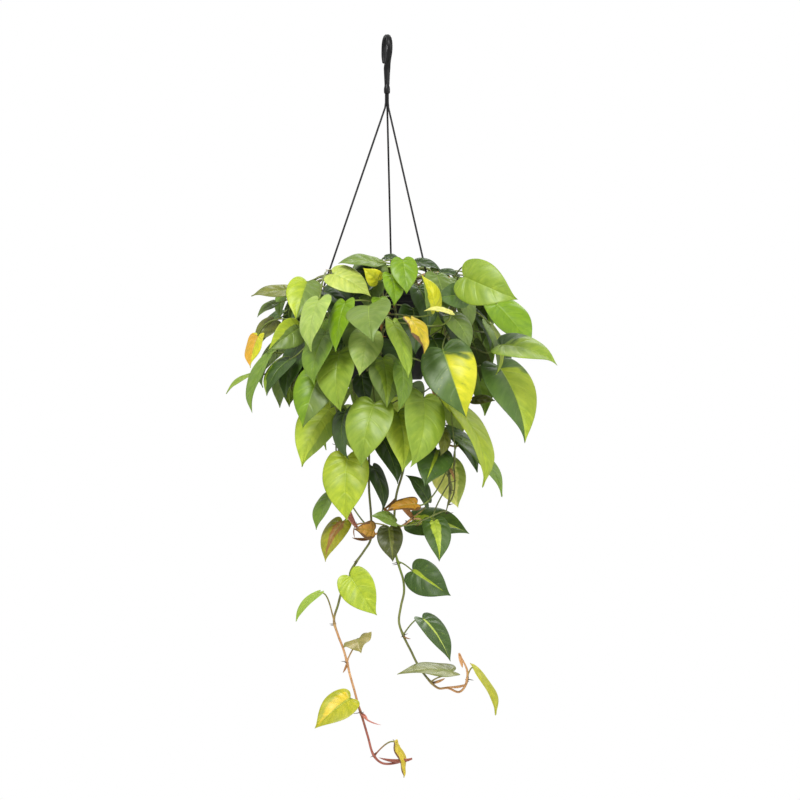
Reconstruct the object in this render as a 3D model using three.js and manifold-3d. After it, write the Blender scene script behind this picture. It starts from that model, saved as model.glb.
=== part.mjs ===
// Brasil philodendron in a black plastic hanging pot, with its hook and three strands.
// Millimetres, +Z up. The origin is the inside top of the hook, where the whole thing hangs.
// -Y is the side that the photograph shows.

import * as THREE from 'three';
import { mergeVertices } from 'three/addons/utils/BufferGeometryUtils.js';
import Module from 'manifold-3d';

const wasm = await Module();
wasm.setup();

const DEGREE = Math.PI / 180;
const GAP = 0.3;
const JOIN_TOLERANCE = 0.08;

// Photograph: its scale in the plane of the hook, and where its camera stood
const PHOTO_CENTRE = 400;
const MM_PER_PIXEL = 1.3;
const CAMERA_DISTANCE = 3000;
const CAMERA_X = 16.9;
const CAMERA_Z = -470.6;

// Hook. Its path lies in a plane of its own, as [across, z], and its section is broader than thick.
const HOOK_INNER_RADIUS = 12;
const HOOK_RADIUS = 2.6;
const HOOK_BEND = HOOK_INNER_RADIUS + HOOK_RADIUS;
const HOOK_BREADTH = 1.4;
const HOOK_TURN = -75;
const HOOK_STEPS = 8;
const HOOK_SIDES = 6;
const HOOK_TIP = [[1.5 - HOOK_BEND, -30.5], [-HOOK_BEND, -22]];
const HOOK_TIP_RADII = [2.1, HOOK_RADIUS];
const HOOK_SHAFT = [[HOOK_BEND - 1.5, -20], [HOOK_BEND - 6.5, -27.5], [3.2, -33], [0.6, -39],
  [0, -46], [0, -64]];
const HOOK_SHAFT_RADII = [HOOK_RADIUS, HOOK_RADIUS, 2.9, 3.2, 2.9, 2.3];
const COLLAR_TOP = -62;
const COLLAR_BOTTOM = -72;
const COLLAR_RADIUS = 4.1;
const COLLAR_NECK_RADIUS = 2.9;
const COLLAR_SEGMENTS = 10;
const SOCKET_RADIUS = 3.25;
const SOCKET_DEPTH = 6;

// Strands
const STRAND_AZIMUTHS = [-69.4, 50.6, 170.6];
const STRAND_NAMES = ['strand_left', 'strand_right', 'strand_back'];
const STRAND_RADIUS = 1.25;
const BUNDLE_RADIUS = 1.65;
const BUNDLE_END = -88;
const BARB_RADIUS = 3.1;
const BARB_LENGTH = 6;
const STRAND_SIDES = 6;

// Pot, from its rolled rim down to its foot ring
const POT_X = -7;
const RIM_Z = -328;
const RIM_RADIUS = 75;
const RIM_HEIGHT = 8;
const RIM_CORNER = 0.8;
const POT_HEIGHT = 116;
const POT_BOTTOM = RIM_Z - POT_HEIGHT;
const POT_WALL = 2.2;
const POT_TOP_INSIDE = 69.4;
const POT_BOTTOM_INSIDE = 51.5;
const POT_CORNER = 3.8;
const BASE_THICKNESS = 2;
const FOOT_HEIGHT = 2.2;
const FOOT_WIDTH = 4.8;
const POT_FLOOR = POT_BOTTOM + FOOT_HEIGHT + BASE_THICKNESS;
const POT_SEGMENTS = 24;
const DRAIN_HOLES = 5;
const DRAIN_RADIUS = 4;
const DRAIN_RING = 34;
const LUG_RADIUS = 79;
const LUG_WIDTH = 12;
const LUG_THICKNESS = 3.2;
const LUG_HOLE_RADIUS = 2.5;
const LUG_STEPS = 5;

// Soil
const SOIL_TOP = -340;
const ROOT_BOTTOM = -368;

// Leafy stems
const STEM_RADIUS = 2.0;
const STEM_SIDES = 4;
const STEM_TOP = -317;
const STEM_TIP_STEPS = 4;
const STEM_TIP_TAPER = 0.1;
const PETIOLE_RADIUS = 1.25;
const PETIOLE_STEPS = [0, 0.36, 0.74, 1];
const BLADE_THICKNESS = 0.8;

// Heart-shaped blade, in units of its length from the notch to the tip
const BLADE_HALF = [[-0.11, 0.17], [0.08, 0.345], [0.4, 0.36], [0.73, 0.2]];
const MIDRIB = [0, 0.33, 0.68, 1];
const BLADE_WIDTH = 0.73;
const LOBE_REACH = 0.11;

// Ways that a blade is bent, drawn for each leaf: how far it arches, folds, droops and twists
const ARCH = [0.05, 0.13];
const FOLD = [0.16, 0.34];
const DROOP = [0.45, 0.75];
const TWIST = [-0.25, 0.25];
const USUAL_LEAN = 12;

// Canopy: the radius that its leaves reach, against the height
const CANOPY = [[-200, 40], [-282, 70], [-301, 112], [-327, 148], [-366, 166], [-405, 170],
  [-445, 165], [-484, 150], [-523, 125], [-562, 105], [-601, 85], [-640, 65], [-760, 50]];
const CANOPY_MIDDLE_Z = -405;
const CANOPY_START = 0.72;
const CANOPY_DEPTH = -80;
const CANOPY_OPENNESS = 60;

// Room that leaves and stems leave each other
const CELL = 2.5;
const BLADE_ROOM = 5.0;
const TUBE_ROOM = 3.4;
const POT_ROOM = 81;
const POT_ROOM_ABOVE = 7;
const POT_ROOM_BELOW = 6;
const BLADE_PUSH = 2;
const MOST_PUSHES = 55;
const SHELL_PUSH = 2.5;
const SHELL_PUSHES = 14;
const TRIES = 10;

// Petioles: their reach, the places on the stems that are tried, and what they may pass close to
const SHORTEST_PETIOLE = 14;
const LONGEST_PETIOLE = 128;
const LEAST_WANTED = 42;
const MOST_WANTED = 85;
const WANTED_SHARE = 0.95;
const PLACE_SPACING = 6;
const NODE_SPACING = 9;
const MOST_PLACES = 140;
const HEIGHT_COST = 0.5;
const FREE_HEIGHT = 8;
const BARE_STEM = 18;
const NEAR_STEM = 6;
const NEAR_OWN_STEM = 18;
const NEAR_BLADE = 7;
const PETIOLE_TESTS = 16;
const HANDLE_SHARE = 0.35;
const OUTWARD_SHARE = 0.6;
const TOWARDS_SHARE = 0.5;

// How a petiole leaves its stem, and how it comes to the blade: from behind, from above, aside
const LIFTS = [0.35, 0.1, 0.6, -0.15, 1];
const ARRIVALS = [[0.8, 0.6, 0], [0.55, 0.85, 0], [1, 0.1, 0], [0.6, 0.5, 0.7], [0.6, 0.5, -0.7],
  [0.1, 1, 0], [0.3, 0.8, 0.6], [0.3, 0.8, -0.6]];

// Leaves that the photograph shows, from the back to the front of the pile.
// base is the notch and tip the point of the leaf, and width is its width as seen, all in pixels.
// ahead, in mm, starts a leaf that far in front of the others.
const PHOTO_LEAVES = [
  { base: [362, 376], tip: [368, 406], width: 20 },
  { base: [372, 270], tip: [350, 303], width: 26 },
  { base: [325, 292], tip: [348, 310], width: 14 },
  { base: [345, 412], tip: [348, 460], width: 20 },
  { base: [447, 428], tip: [477, 473], width: 17 },
  { base: [373, 467], tip: [383, 512], width: 16 },
  { base: [437, 450], tip: [424, 487], width: 38 },
  { base: [389, 528], tip: [393, 562], width: 26 },
  { base: [473, 400], tip: [495, 401], width: 10 },
  { base: [500, 338], tip: [506, 374], width: 14 },
  { base: [272, 352], tip: [262, 388], width: 12 },
  { base: [301, 366], tip: [291, 392], width: 10 },
  { base: [443, 430], tip: [441, 456], width: 14 },
  { base: [283, 289], tip: [280, 319], width: 13 },
  { base: [275, 303], tip: [257, 317], width: 9 },
  { base: [301, 341], tip: [285, 399], width: 26 },
  { base: [274, 321], tip: [254, 344], width: 18 },
  { base: [307, 282], tip: [296, 320], width: 34 },
  { base: [299, 328], tip: [268, 350], width: 29 },
  { base: [258, 336], tip: [250, 368], width: 17 },
  { base: [288, 290], tip: [251, 296], width: 14 },
  { base: [252, 375], tip: [226, 394], width: 6 },
  { base: [267, 358], tip: [251, 413], width: 15 },
  { base: [289, 360], tip: [266, 396], width: 19 },
  { base: [292, 364], tip: [280, 408], width: 22 },
  { base: [319, 300], tip: [311, 352], width: 26 },
  { base: [325, 334], tip: [313, 385], width: 28 },
  { base: [331, 408], tip: [302, 467], width: 41 },
  { base: [320, 374], tip: [303, 428], width: 40 },
  { base: [345, 303], tip: [336, 352], width: 22 },
  { base: [339, 353], tip: [340, 412], width: 38 },
  { base: [383, 358], tip: [386, 408], width: 34 },
  { base: [379, 298], tip: [383, 317], width: 17 },
  { base: [368, 333], tip: [360, 376], width: 34 },
  { base: [369, 306], tip: [372, 341], width: 45 },
  { base: [377, 262], tip: [338, 264], width: 14 },
  { base: [378, 281], tip: [363, 268], width: 18 },
  { base: [333, 274], tip: [371, 296], width: 27 },
  { base: [391, 275], tip: [394, 306], width: 20 },
  { base: [403, 260], tip: [407, 294], width: 27 },
  { base: [385, 257], tip: [401, 262], width: 8 },
  { base: [416, 262], tip: [441, 270], width: 10 },
  { base: [440, 273], tip: [462, 279], width: 8 },
  { base: [466, 295], tip: [434, 298], width: 26 },
  { base: [435, 310], tip: [421, 275], width: 18 },
  { base: [451, 312], tip: [424, 311], width: 6 },
  { base: [411, 319], tip: [425, 354], width: 17 },
  { base: [393, 323], tip: [408, 378], width: 19 },
  { base: [452, 316], tip: [470, 349], width: 22 },
  { base: [402, 365], tip: [399, 411], width: 19 },
  { base: [374, 404], tip: [361, 467], width: 45 },
  { base: [382, 438], tip: [398, 484], width: 24 },
  { base: [398, 413], tip: [403, 472], width: 38 },
  { base: [424, 398], tip: [412, 468], width: 42 },
  { base: [347, 457], tip: [346, 521], width: 46 },
  { base: [445, 393], tip: [463, 430], width: 18 },
  { base: [462, 440], tip: [503, 497], width: 15 },
  { base: [458, 409], tip: [485, 487], width: 24 },
  { base: [443, 350], tip: [466, 418], width: 54 },
  { base: [490, 325], tip: [497, 375], width: 14 },
  { base: [496, 304], tip: [532, 348], width: 34 },
  { base: [501, 345], tip: [558, 364], width: 26 },
  { base: [464, 277], tip: [517, 300], width: 46, ahead: 45 },
  { base: [500, 367], tip: [526, 443], width: 44 },
  { base: [330, 496], tip: [316, 530], width: 15 },
  { base: [342, 522], tip: [325, 562], width: 22 },
  { base: [428, 502], tip: [406, 475], width: 15 },
  { base: [413, 521], tip: [470, 533], width: 28 },
  { base: [434, 521], tip: [439, 562], width: 27 },
  { base: [445, 464], tip: [458, 508], width: 34 },
  { base: [395, 522], tip: [371, 516], width: 12 },
  { base: [374, 530], tip: [354, 529], width: 19 },
  { base: [416, 504], tip: [386, 511], width: 13 },
];

// Leaves of the two long stems: where each petiole leaves its stem, and the depth of the leaf
const HANGING_LEAVES = [
  { stem: 'left', base: [350, 576], tip: [376, 616], width: 36, depth: -70, from: [355, 563] },
  { stem: 'left', base: [319, 593], tip: [296, 622], width: 8, depth: -58, from: [333, 624] },
  { stem: 'left', base: [358, 639], tip: [361, 652], width: 32, depth: -52, from: [347, 663] },
  { stem: 'left', base: [350, 699], tip: [315, 729], width: 27, depth: -62, from: [360, 712] },
  { stem: 'left', base: [396, 743], tip: [404, 778], width: 7, depth: -66, from: [374, 757] },
  { stem: 'right', base: [413, 571], tip: [451, 596], width: 35, depth: -66, from: [398, 563] },
  { stem: 'right', base: [423, 619], tip: [450, 662], width: 20, depth: -64, from: [403, 636] },
  { stem: 'right', base: [452, 671], tip: [397, 674], width: 9, depth: -70, from: [432, 683] },
  { stem: 'right', base: [474, 668], tip: [497, 715], width: 8, depth: -62, from: [467, 680] },
];

const HANGING_SPACING = 3;
const HANGING_HANDLE = 0.3;
const HANGING_LIFT = 0.16;
const HANGING_UP = 0.8;
const HANGING_BACK = 0.5;

// Stems routed by hand from the rim down: pixel column, pixel row and depth of each bend. lug and
// step give the azimuth where each crosses the rim, and root how far from the axis it is rooted.
const ROUTED_STEMS = {
  left: { lug: 0, step: 60, root: 40, route: [
    [368, 345, -93], [367, 385, -92], [368, 420, -80], [369, 455, -66], [369, 488, -60],
    [371, 515, -56], [371, 538, -54], [364, 551, -54], [355, 564, -54], [350, 578, -53],
    [342, 591, -52], [338, 605, -52], [334, 620, -53], [338, 635, -54], [343, 648, -54],
    [347, 662, -54], [350, 675, -55], [354, 689, -56], [358, 704, -57], [363, 720, -58],
    [368, 737, -59], [373, 754, -60], [382, 763, -61], [396, 763, -62], [412, 758, -63]] },
  right: { lug: 0, step: 80, root: 52, route: [
    [398, 345, -93], [404, 385, -92], [406, 428, -80], [404, 466, -62], [396, 497, -56],
    [394, 530, -54], [395, 550, -54], [399, 566, -54], [403, 579, -54], [404, 592, -55],
    [401, 606, -56], [399, 622, -56], [404, 637, -56], [411, 651, -56], [418, 665, -56],
    [428, 679, -55], [438, 688, -54], [448, 688, -54], [459, 692, -55], [466, 684, -56],
    [467, 670, -57], [459, 653, -58]] },
  crossing: { lug: 0, step: 40, root: 54, route: [
    [345, 345, -84], [341, 400, -84], [339, 450, -76], [342, 490, -70], [348, 516, -68],
    [358, 528, -69], [368, 534, -70], [381, 533, -71], [396, 529, -71], [413, 519, -70]] },
  middle: { lug: 0, step: 100, root: 44, route: [
    [431, 345, -80], [438, 400, -82], [446, 440, -72], [448, 466, -64], [450, 492, -58],
    [446, 512, -54]] },
};

// Stems placed by a rule: steps in degrees from each lug, how far out they bow over the rim, and
// the rest of their line as [further out than the bow, z]
const NEAR_STEPS = [20, 40, 60, 80, 100];
const NEAR_BOW = 89;
const NEAR_ROOTS = [56, 40];
const NEAR_LINE = [[4, -340], [2, -378], [-7, -415], [-20, -450]];
const FAR_STEPS = [30, 70];
const FAR_BOW = 103;
const FAR_ROOTS = [26, 30];
const FAR_LINE = [[8, -338], [7, -378], [1, -420]];

// Leaves placed by a rule: rows on the sides, the back and the top that the photograph hides, and
// inner ones close to the pot. Their habit is how far each may stray from its row, its length,
// how steeply it drops, and how far it swings and turns, in degrees.
const BACK_ROWS = [
  { z: -482, count: 3, radius: 60, from: 130, to: 230 },
  { z: -450, count: 5, radius: 78, from: 100, to: 260 },
  { z: -420, count: 8, radius: 92, from: 70, to: 290 },
  { z: -388, count: 9, radius: 104, from: 60, to: 300 },
  { z: -358, count: 10, radius: 106, from: 58, to: 302 },
  { z: -330, count: 9, radius: 102, from: 64, to: 296 },
  { z: -306, count: 7, radius: 84, from: 70, to: 290 },
];
const TOP_ROWS = [
  { z: -300, count: 9, radius: 62, from: 30, to: 330 },
  { z: -297, count: 6, radius: 26, from: 0, to: 360 },
];
const INNER_ROWS = [
  { z: -392, count: 7, radius: 94, from: -120, to: 120 },
  { z: -362, count: 8, radius: 98, from: -125, to: 125 },
  { z: -332, count: 8, radius: 98, from: -125, to: 125 },
  { z: -310, count: 6, radius: 90, from: -120, to: 120 },
];
const TOP_HABIT = { rise: 6, spread: 14, length: [46, 66], drop: [8, 40], swing: 40, turn: 20 };
const BACK_HABIT = { rise: 12, spread: 10, length: [56, 84], drop: [50, 80], swing: 34, turn: 25 };
const INNER_HABIT = { rise: 12, spread: 6, length: [48, 68], drop: [60, 85], swing: 25, turn: 20 };

// Top outline that the photograph shows, as [column, row]: no leaf of a row stands above it
const SKYLINE = [[225, 395], [250, 320], [262, 290], [300, 283], [327, 279], [340, 264], [365, 256],
  [430, 262], [455, 274], [492, 268], [517, 300], [535, 340], [560, 400]];

// Random numbers that are the same on every run

let randomState = 20261127;

function random() {
  randomState = (randomState * 16807) % 2147483647;
  return randomState / 2147483647;
}

function between(low, high) {
  return low + (high - low) * random();
}

// Small vector helpers on plain lists of three numbers

const plus = (a, b) => [a[0] + b[0], a[1] + b[1], a[2] + b[2]];
const minus = (a, b) => [a[0] - b[0], a[1] - b[1], a[2] - b[2]];
const times = (a, k) => [a[0] * k, a[1] * k, a[2] * k];
const dot = (a, b) => a[0] * b[0] + a[1] * b[1] + a[2] * b[2];
const size = (a) => Math.sqrt(dot(a, a));
const unit = (a) => times(a, 1 / size(a));

function cross(a, b) {
  return [a[1] * b[2] - a[2] * b[1], a[2] * b[0] - a[0] * b[2], a[0] * b[1] - a[1] * b[0]];
}

function mix(a, b, t) {
  return plus(times(a, 1 - t), times(b, t));
}

// The way out from the pot's axis at an azimuth: 0 is towards the camera, 90 is +X
function outward(azimuth) {
  return [Math.sin(azimuth * DEGREE), -Math.cos(azimuth * DEGREE), 0];
}

function around(azimuth, radius, z) {
  return plus([POT_X, 0, z], times(outward(azimuth), radius));
}

// The point at depth y that the photograph shows at a pixel
function seen(column, row, y) {
  const scale = MM_PER_PIXEL * (CAMERA_DISTANCE + y) / CAMERA_DISTANCE;
  return [CAMERA_X + (column - PHOTO_CENTRE) * scale, y, CAMERA_Z - (row - PHOTO_CENTRE) * scale];
}

function lookUp(table, x) {
  const last = table.length - 1;
  if (table[0][0] > table[last][0]) {
    return lookUp([...table].reverse(), x);
  }
  if (x <= table[0][0]) {
    return table[0][1];
  }
  for (let i = 0; i < last; i += 1) {
    const [x0, y0] = table[i];
    const [x1, y1] = table[i + 1];
    if (x <= x1) {
      return y0 + (y1 - y0) * (x - x0) / (x1 - x0);
    }
  }
  return table[last][1];
}

// Room: a grid of cells that leaves and stems have taken

const leafCells = new Map();
const stemCells = new Map();

function cellOf(x) {
  return Math.floor(x / CELL);
}

function cellKey(i, j, k) {
  return ((i + 2048) * 4096 + (j + 2048)) * 4096 + (k + 2048);
}

function takeRoom(cells, point, room, owner) {
  const low = point.map((x) => cellOf(x - room));
  const high = point.map((x) => cellOf(x + room));
  for (let i = low[0]; i <= high[0]; i += 1) {
    for (let j = low[1]; j <= high[1]; j += 1) {
      for (let k = low[2]; k <= high[2]; k += 1) {
        const centre = [(i + 0.5) * CELL, (j + 0.5) * CELL, (k + 0.5) * CELL];
        if (size(minus(centre, point)) <= room) {
          cells.set(cellKey(i, j, k), owner);
        }
      }
    }
  }
}

function ownerAt(cells, point) {
  return cells.get(cellKey(cellOf(point[0]), cellOf(point[1]), cellOf(point[2])));
}

function inPot(point) {
  const reach = Math.hypot(point[0] - POT_X, point[1]);
  return reach < POT_ROOM && point[2] < RIM_Z + POT_ROOM_ABOVE && point[2] > POT_BOTTOM - POT_ROOM_BELOW;
}

function isFree(point) {
  return !inPot(point) && ownerAt(leafCells, point) === undefined
    && ownerAt(stemCells, point) === undefined;
}

// Points along a line of straight pieces, no further apart than a spacing
function along(points, spacing) {
  const result = [points[0]];
  for (let i = 0; i + 1 < points.length; i += 1) {
    const count = Math.ceil(size(minus(points[i + 1], points[i])) / spacing);
    for (let j = 1; j <= count; j += 1) {
      result.push(mix(points[i], points[i + 1], j / count));
    }
  }
  return result;
}

// Smooth line through points, with a number of straight pieces to each span
function smooth(points, pieces) {
  const result = [];
  const last = points.length - 1;
  for (let i = 0; i < last; i += 1) {
    const before = points[Math.max(i - 1, 0)];
    const after = points[Math.min(i + 2, last)];
    for (let j = 0; j < pieces; j += 1) {
      const t = j / pieces;
      const place = [0, 1, 2].map((k) => {
        const [p0, p1, p2, p3] = [before[k], points[i][k], points[i + 1][k], after[k]];
        return 0.5 * (2 * p1 + (p2 - p0) * t + (2 * p0 - 5 * p1 + 4 * p2 - p3) * t * t
          + (3 * p1 - p0 - 3 * p2 + p3) * t * t * t);
      });
      result.push(place);
    }
  }
  result.push(points[last]);
  return result;
}

// Stems: each stands in the soil, rises, goes over the rim and hangs down outside the pot

function rise(azimuth, root, bow, top) {
  return [
    around(azimuth, root, ROOT_BOTTOM),
    around(azimuth, root, SOIL_TOP + 3),
    around(azimuth, root + 8, top - 12),
    around(azimuth, 0.5 * (root + bow), top),
    around(azimuth, bow - 2, top - 5),
  ];
}

const stems = [];
const RISE_POINTS = 5;

function addStem(name, points, pieces) {
  const rising = smooth(points.slice(1), 2).slice(0, 2 * (RISE_POINTS - 2));
  const hanging = smooth(points.slice(1), pieces).slice(pieces * (RISE_POINTS - 2));
  const line = [points[0], ...rising, ...hanging];
  const stem = { name, points, line, leaves: [], taken: [] };
  for (const point of along(line, CELL)) {
    takeRoom(stemCells, point, STEM_RADIUS + TUBE_ROOM, stems.length);
  }
  stems.push(stem);
}

function growStems() {
  STRAND_AZIMUTHS.forEach((azimuth) => {
    const top = [0, 0, BUNDLE_END];
    const lug = around(azimuth, LUG_RADIUS, RIM_Z + 4);
    for (const point of along([top, lug], CELL)) {
      takeRoom(stemCells, point, STRAND_RADIUS + TUBE_ROOM, -1);
    }
  });
  for (const [name, { lug, step, root, route }] of Object.entries(ROUTED_STEMS)) {
    const start = rise(STRAND_AZIMUTHS[lug] + step, root, NEAR_BOW, STEM_TOP);
    const hanging = route.map(([column, row, y]) => seen(column, row, y));
    addStem(`vine_${name}`, [...start, ...hanging], name === 'left' || name === 'right' ? 1 : 2);
  }
  const routed = Object.values(ROUTED_STEMS).map(({ lug, step }) => `${lug} ${step}`);
  STRAND_AZIMUTHS.forEach((lugAzimuth, lug) => {
    NEAR_STEPS.forEach((step, i) => {
      if (routed.includes(`${lug} ${step}`)) {
        return;
      }
      const azimuth = lugAzimuth + step + between(-3, 3);
      const sway = between(-6, 6);
      const end = between(-20, 20);
      const start = rise(azimuth, NEAR_ROOTS[i % 2], NEAR_BOW, STEM_TOP + between(-4, 8));
      const sways = [sway, sway, 0, -sway];
      const hanging = NEAR_LINE.map(([out, z], k) => (
        around(azimuth + sways[k], NEAR_BOW + out, z + (k === 3 ? end : 0))));
      addStem(`vine_near_${lug + 1}_${i + 1}`, [...start, ...hanging], 1);
    });
    FAR_STEPS.forEach((step, i) => {
      const azimuth = lugAzimuth + step + between(-2, 2);
      const sway = between(-3, 3);
      const start = rise(azimuth, FAR_ROOTS[i], FAR_BOW, STEM_TOP + between(8, 14));
      const sways = [sway, sway, 0];
      const hanging = FAR_LINE.map(([out, z], k) => around(azimuth + sways[k], FAR_BOW + out, z));
      addStem(`vine_far_${lug + 1}_${i + 1}`, [...start, ...hanging], 1);
    });
  });
}

// Blades

function halfWidth(u) {
  return lookUp([...BLADE_HALF, [1, 0]], u);
}

// Height of the blade over its chord: arched along, folded at the midrib, drooping at the edge
function bladeHeight(leaf, u, v) {
  return leaf.arch * 4 * u * (1 - u) + leaf.fold * Math.abs(v) - leaf.droop * v * v
    + leaf.twist * v * (u - 0.4);
}

function bladePoint(leaf, u, v) {
  const height = bladeHeight(leaf, u, v);
  let point = plus(leaf.base, times(leaf.along, u * leaf.length));
  point = plus(point, times(leaf.across, v * leaf.length));
  return plus(point, times(leaf.face, height * leaf.length));
}

// Places spread over a blade, as [u, v]
function spread(rows, columns) {
  const places = [];
  for (let i = 0; i <= rows; i += 1) {
    const u = -LOBE_REACH + (1 + LOBE_REACH) * i / rows;
    for (let j = 0; j <= columns; j += 1) {
      places.push([u, halfWidth(u) * (2 * j / columns - 1)]);
    }
  }
  return places;
}

const TEST_PLACES = spread(24, 16);
const FILL_PLACES = spread(36, 26);

function drawShape() {
  return {
    arch: between(...ARCH),
    fold: between(...FOLD),
    droop: between(...DROOP),
    twist: between(...TWIST),
  };
}

// Pose of a blade that the photograph shows, with its notch at depth y
function photoPose(row, y) {
  const scale = MM_PER_PIXEL * (CAMERA_DISTANCE + y) / CAMERA_DISTANCE;
  const width = row.width * scale;
  const shown = Math.hypot(row.tip[0] - row.base[0], row.tip[1] - row.base[1]) * scale;
  const whole = Math.max(shown / Math.cos(USUAL_LEAN * DEGREE), width / BLADE_WIDTH);
  const reach = Math.sqrt(whole * whole - shown * shown);
  const base = seen(row.base[0], row.base[1], y);
  const tip = seen(row.tip[0], row.tip[1], y - reach);
  const chord = minus(tip, base);
  const length = size(chord);
  const alongBlade = unit(chord);
  const toCamera = [0, -1, 0];
  const facing = unit(minus(toCamera, times(alongBlade, dot(toCamera, alongBlade))));
  const side = cross(facing, alongBlade);
  const middle = mix(base, tip, 0.5);
  const open = [middle[0] - POT_X, 0, CANOPY_OPENNESS + Math.max(0, middle[2] - CANOPY_MIDDLE_Z)];
  const turn = Math.acos(Math.min(1, width / (BLADE_WIDTH * length)));
  const way = dot(side, open) >= 0 ? 1 : -1;
  const face = plus(times(facing, Math.cos(turn)), times(side, way * Math.sin(turn)));
  return { base, length, along: alongBlade, face, across: cross(face, alongBlade) };
}

function bladeIsFree(leaf) {
  return TEST_PLACES.every(([u, v]) => isFree(bladePoint(leaf, u, v)));
}

// Petioles: a smooth line from a stem to the notch of a blade

function petioleLine(start, leave, arrive, end) {
  return PETIOLE_STEPS.map((t) => {
    const s = 1 - t;
    let point = times(start, s * s * s);
    point = plus(point, times(plus(start, leave), 3 * s * s * t));
    point = plus(point, times(plus(end, arrive), 3 * s * t * t));
    return plus(point, times(end, t * t * t));
  });
}

function petioleIsFree(line, stemIndex) {
  const lengths = line.slice(1).map((point, i) => size(minus(point, line[i])));
  const total = lengths[0] + lengths[1] + lengths[2];
  let before = 0;
  for (let i = 0; i < 3; i += 1) {
    for (let j = 0; j < PETIOLE_TESTS; j += 1) {
      const t = j / PETIOLE_TESTS;
      const point = mix(line[i], line[i + 1], t);
      const done = before + lengths[i] * t;
      const owner = ownerAt(stemCells, point);
      const clearOfEnds = total - done > NEAR_BLADE && done > NEAR_STEM;
      const inLeaf = clearOfEnds && ownerAt(leafCells, point) !== undefined;
      const inStem = owner !== undefined && (owner !== stemIndex || done > NEAR_OWN_STEM);
      if (inPot(point) || inLeaf || inStem) {
        return false;
      }
    }
    before += lengths[i];
  }
  return true;
}

// Places along the stems that a leaf's petiole could grow from, the likeliest first
function petiolePlaces(leaf) {
  const wanted = Math.min(MOST_WANTED, Math.max(LEAST_WANTED, WANTED_SHARE * leaf.length));
  const places = [];
  stems.forEach((stem, index) => {
    along(stem.line, PLACE_SPACING).forEach((point) => {
      const distance = size(minus(point, leaf.base));
      const crowded = stem.taken.some((other) => size(minus(other, point)) < NODE_SPACING);
      const overSoil = Math.hypot(point[0] - POT_X, point[1]) < RIM_RADIUS;
      const bare = overSoil && point[2] < SOIL_TOP + BARE_STEM;
      if (bare || crowded || distance < SHORTEST_PETIOLE || distance > LONGEST_PETIOLE) {
        return;
      }
      const above = Math.max(0, point[2] - leaf.base[2] - FREE_HEIGHT);
      const cost = Math.abs(distance - wanted) + HEIGHT_COST * above;
      places.push({ index, point, distance, cost });
    });
  });
  places.sort((a, b) => a.cost - b.cost);
  return places.slice(0, MOST_PLACES);
}

function findPetiole(leaf) {
  for (const { index, point, distance } of petiolePlaces(leaf)) {
    const out = times(unit([point[0] - POT_X, point[1], 0]), OUTWARD_SHARE);
    const toLeaf = times(unit(minus(leaf.base, point)), TOWARDS_SHARE);
    const handle = HANDLE_SHARE * distance;
    for (const lift of LIFTS) {
      const leave = unit(plus(plus(out, [0, 0, lift]), toLeaf));
      for (const [back, up, aside] of ARRIVALS) {
        const arrive = unit(plus(plus(times(leaf.face, -back), times(leaf.along, -up)),
          times(leaf.across, aside)));
        const line = petioleLine(point, times(leave, handle), times(arrive, handle), leaf.base);
        if (petioleIsFree(line, index)) {
          return { index, point, line };
        }
      }
    }
  }
  return null;
}

function keepLeaf(leaf, petiole) {
  const stem = stems[petiole.index];
  leaf.petiole = petiole;
  stem.leaves.push(leaf);
  stem.taken.push(petiole.point);
  for (const [u, v] of FILL_PLACES) {
    takeRoom(leafCells, bladePoint(leaf, u, v), BLADE_ROOM, petiole.index);
  }
  for (const point of along(petiole.line, CELL)) {
    takeRoom(leafCells, point, PETIOLE_RADIUS + TUBE_ROOM, petiole.index);
  }
}

// Keeps a leaf if there is room for its blade and for a petiole
function growLeaf(leaf) {
  const petiole = bladeIsFree(leaf) ? findPetiole(leaf) : null;
  if (petiole) {
    keepLeaf(leaf, petiole);
  }
  return petiole !== null;
}

// Each leaf starts inside the canopy and comes forward until it is clear of the ones behind it
function growPhotoLeaves() {
  PHOTO_LEAVES.forEach((row) => {
    const shape = drawShape();
    const column = (row.base[0] + row.tip[0]) / 2;
    const middle = seen(column, (row.base[1] + row.tip[1]) / 2, CANOPY_DEPTH);
    const reach = lookUp(CANOPY, middle[2]) * CANOPY_START;
    const aside = middle[0] - POT_X;
    const start = -Math.sqrt(Math.max(reach * reach - aside * aside, 0)) - (row.ahead ?? 0);
    let grown = false;
    for (let push = 0; push <= MOST_PUSHES && !grown; push += 1) {
      grown = growLeaf({ ...photoPose(row, start - push * BLADE_PUSH), ...shape });
    }
  });
}

// A blade on the canopy seen from outside: its notch on a circle, its tip down and out
function shellPose(azimuth, radius, z, length, drop, swing, turn) {
  const base = around(azimuth, radius, z);
  const out = outward(azimuth + swing);
  const alongBlade = unit(plus(times(out, Math.cos(drop * DEGREE)), [0, 0, -Math.sin(drop * DEGREE)]));
  const up = [0, 0, 1];
  const facing = unit(plus(times(out, Math.sin(drop * DEGREE)), times(up, Math.cos(drop * DEGREE))));
  const side = cross(facing, alongBlade);
  const face = plus(times(facing, Math.cos(turn * DEGREE)), times(side, Math.sin(turn * DEGREE)));
  return { base, length, along: alongBlade, face, across: cross(face, alongBlade) };
}

function isBelowSkyline(point) {
  const scale = MM_PER_PIXEL * (CAMERA_DISTANCE + point[1]) / CAMERA_DISTANCE;
  const column = PHOTO_CENTRE + (point[0] - CAMERA_X) / scale;
  const row = PHOTO_CENTRE - (point[2] - CAMERA_Z) / scale;
  return row >= lookUp(SKYLINE, column);
}

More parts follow.
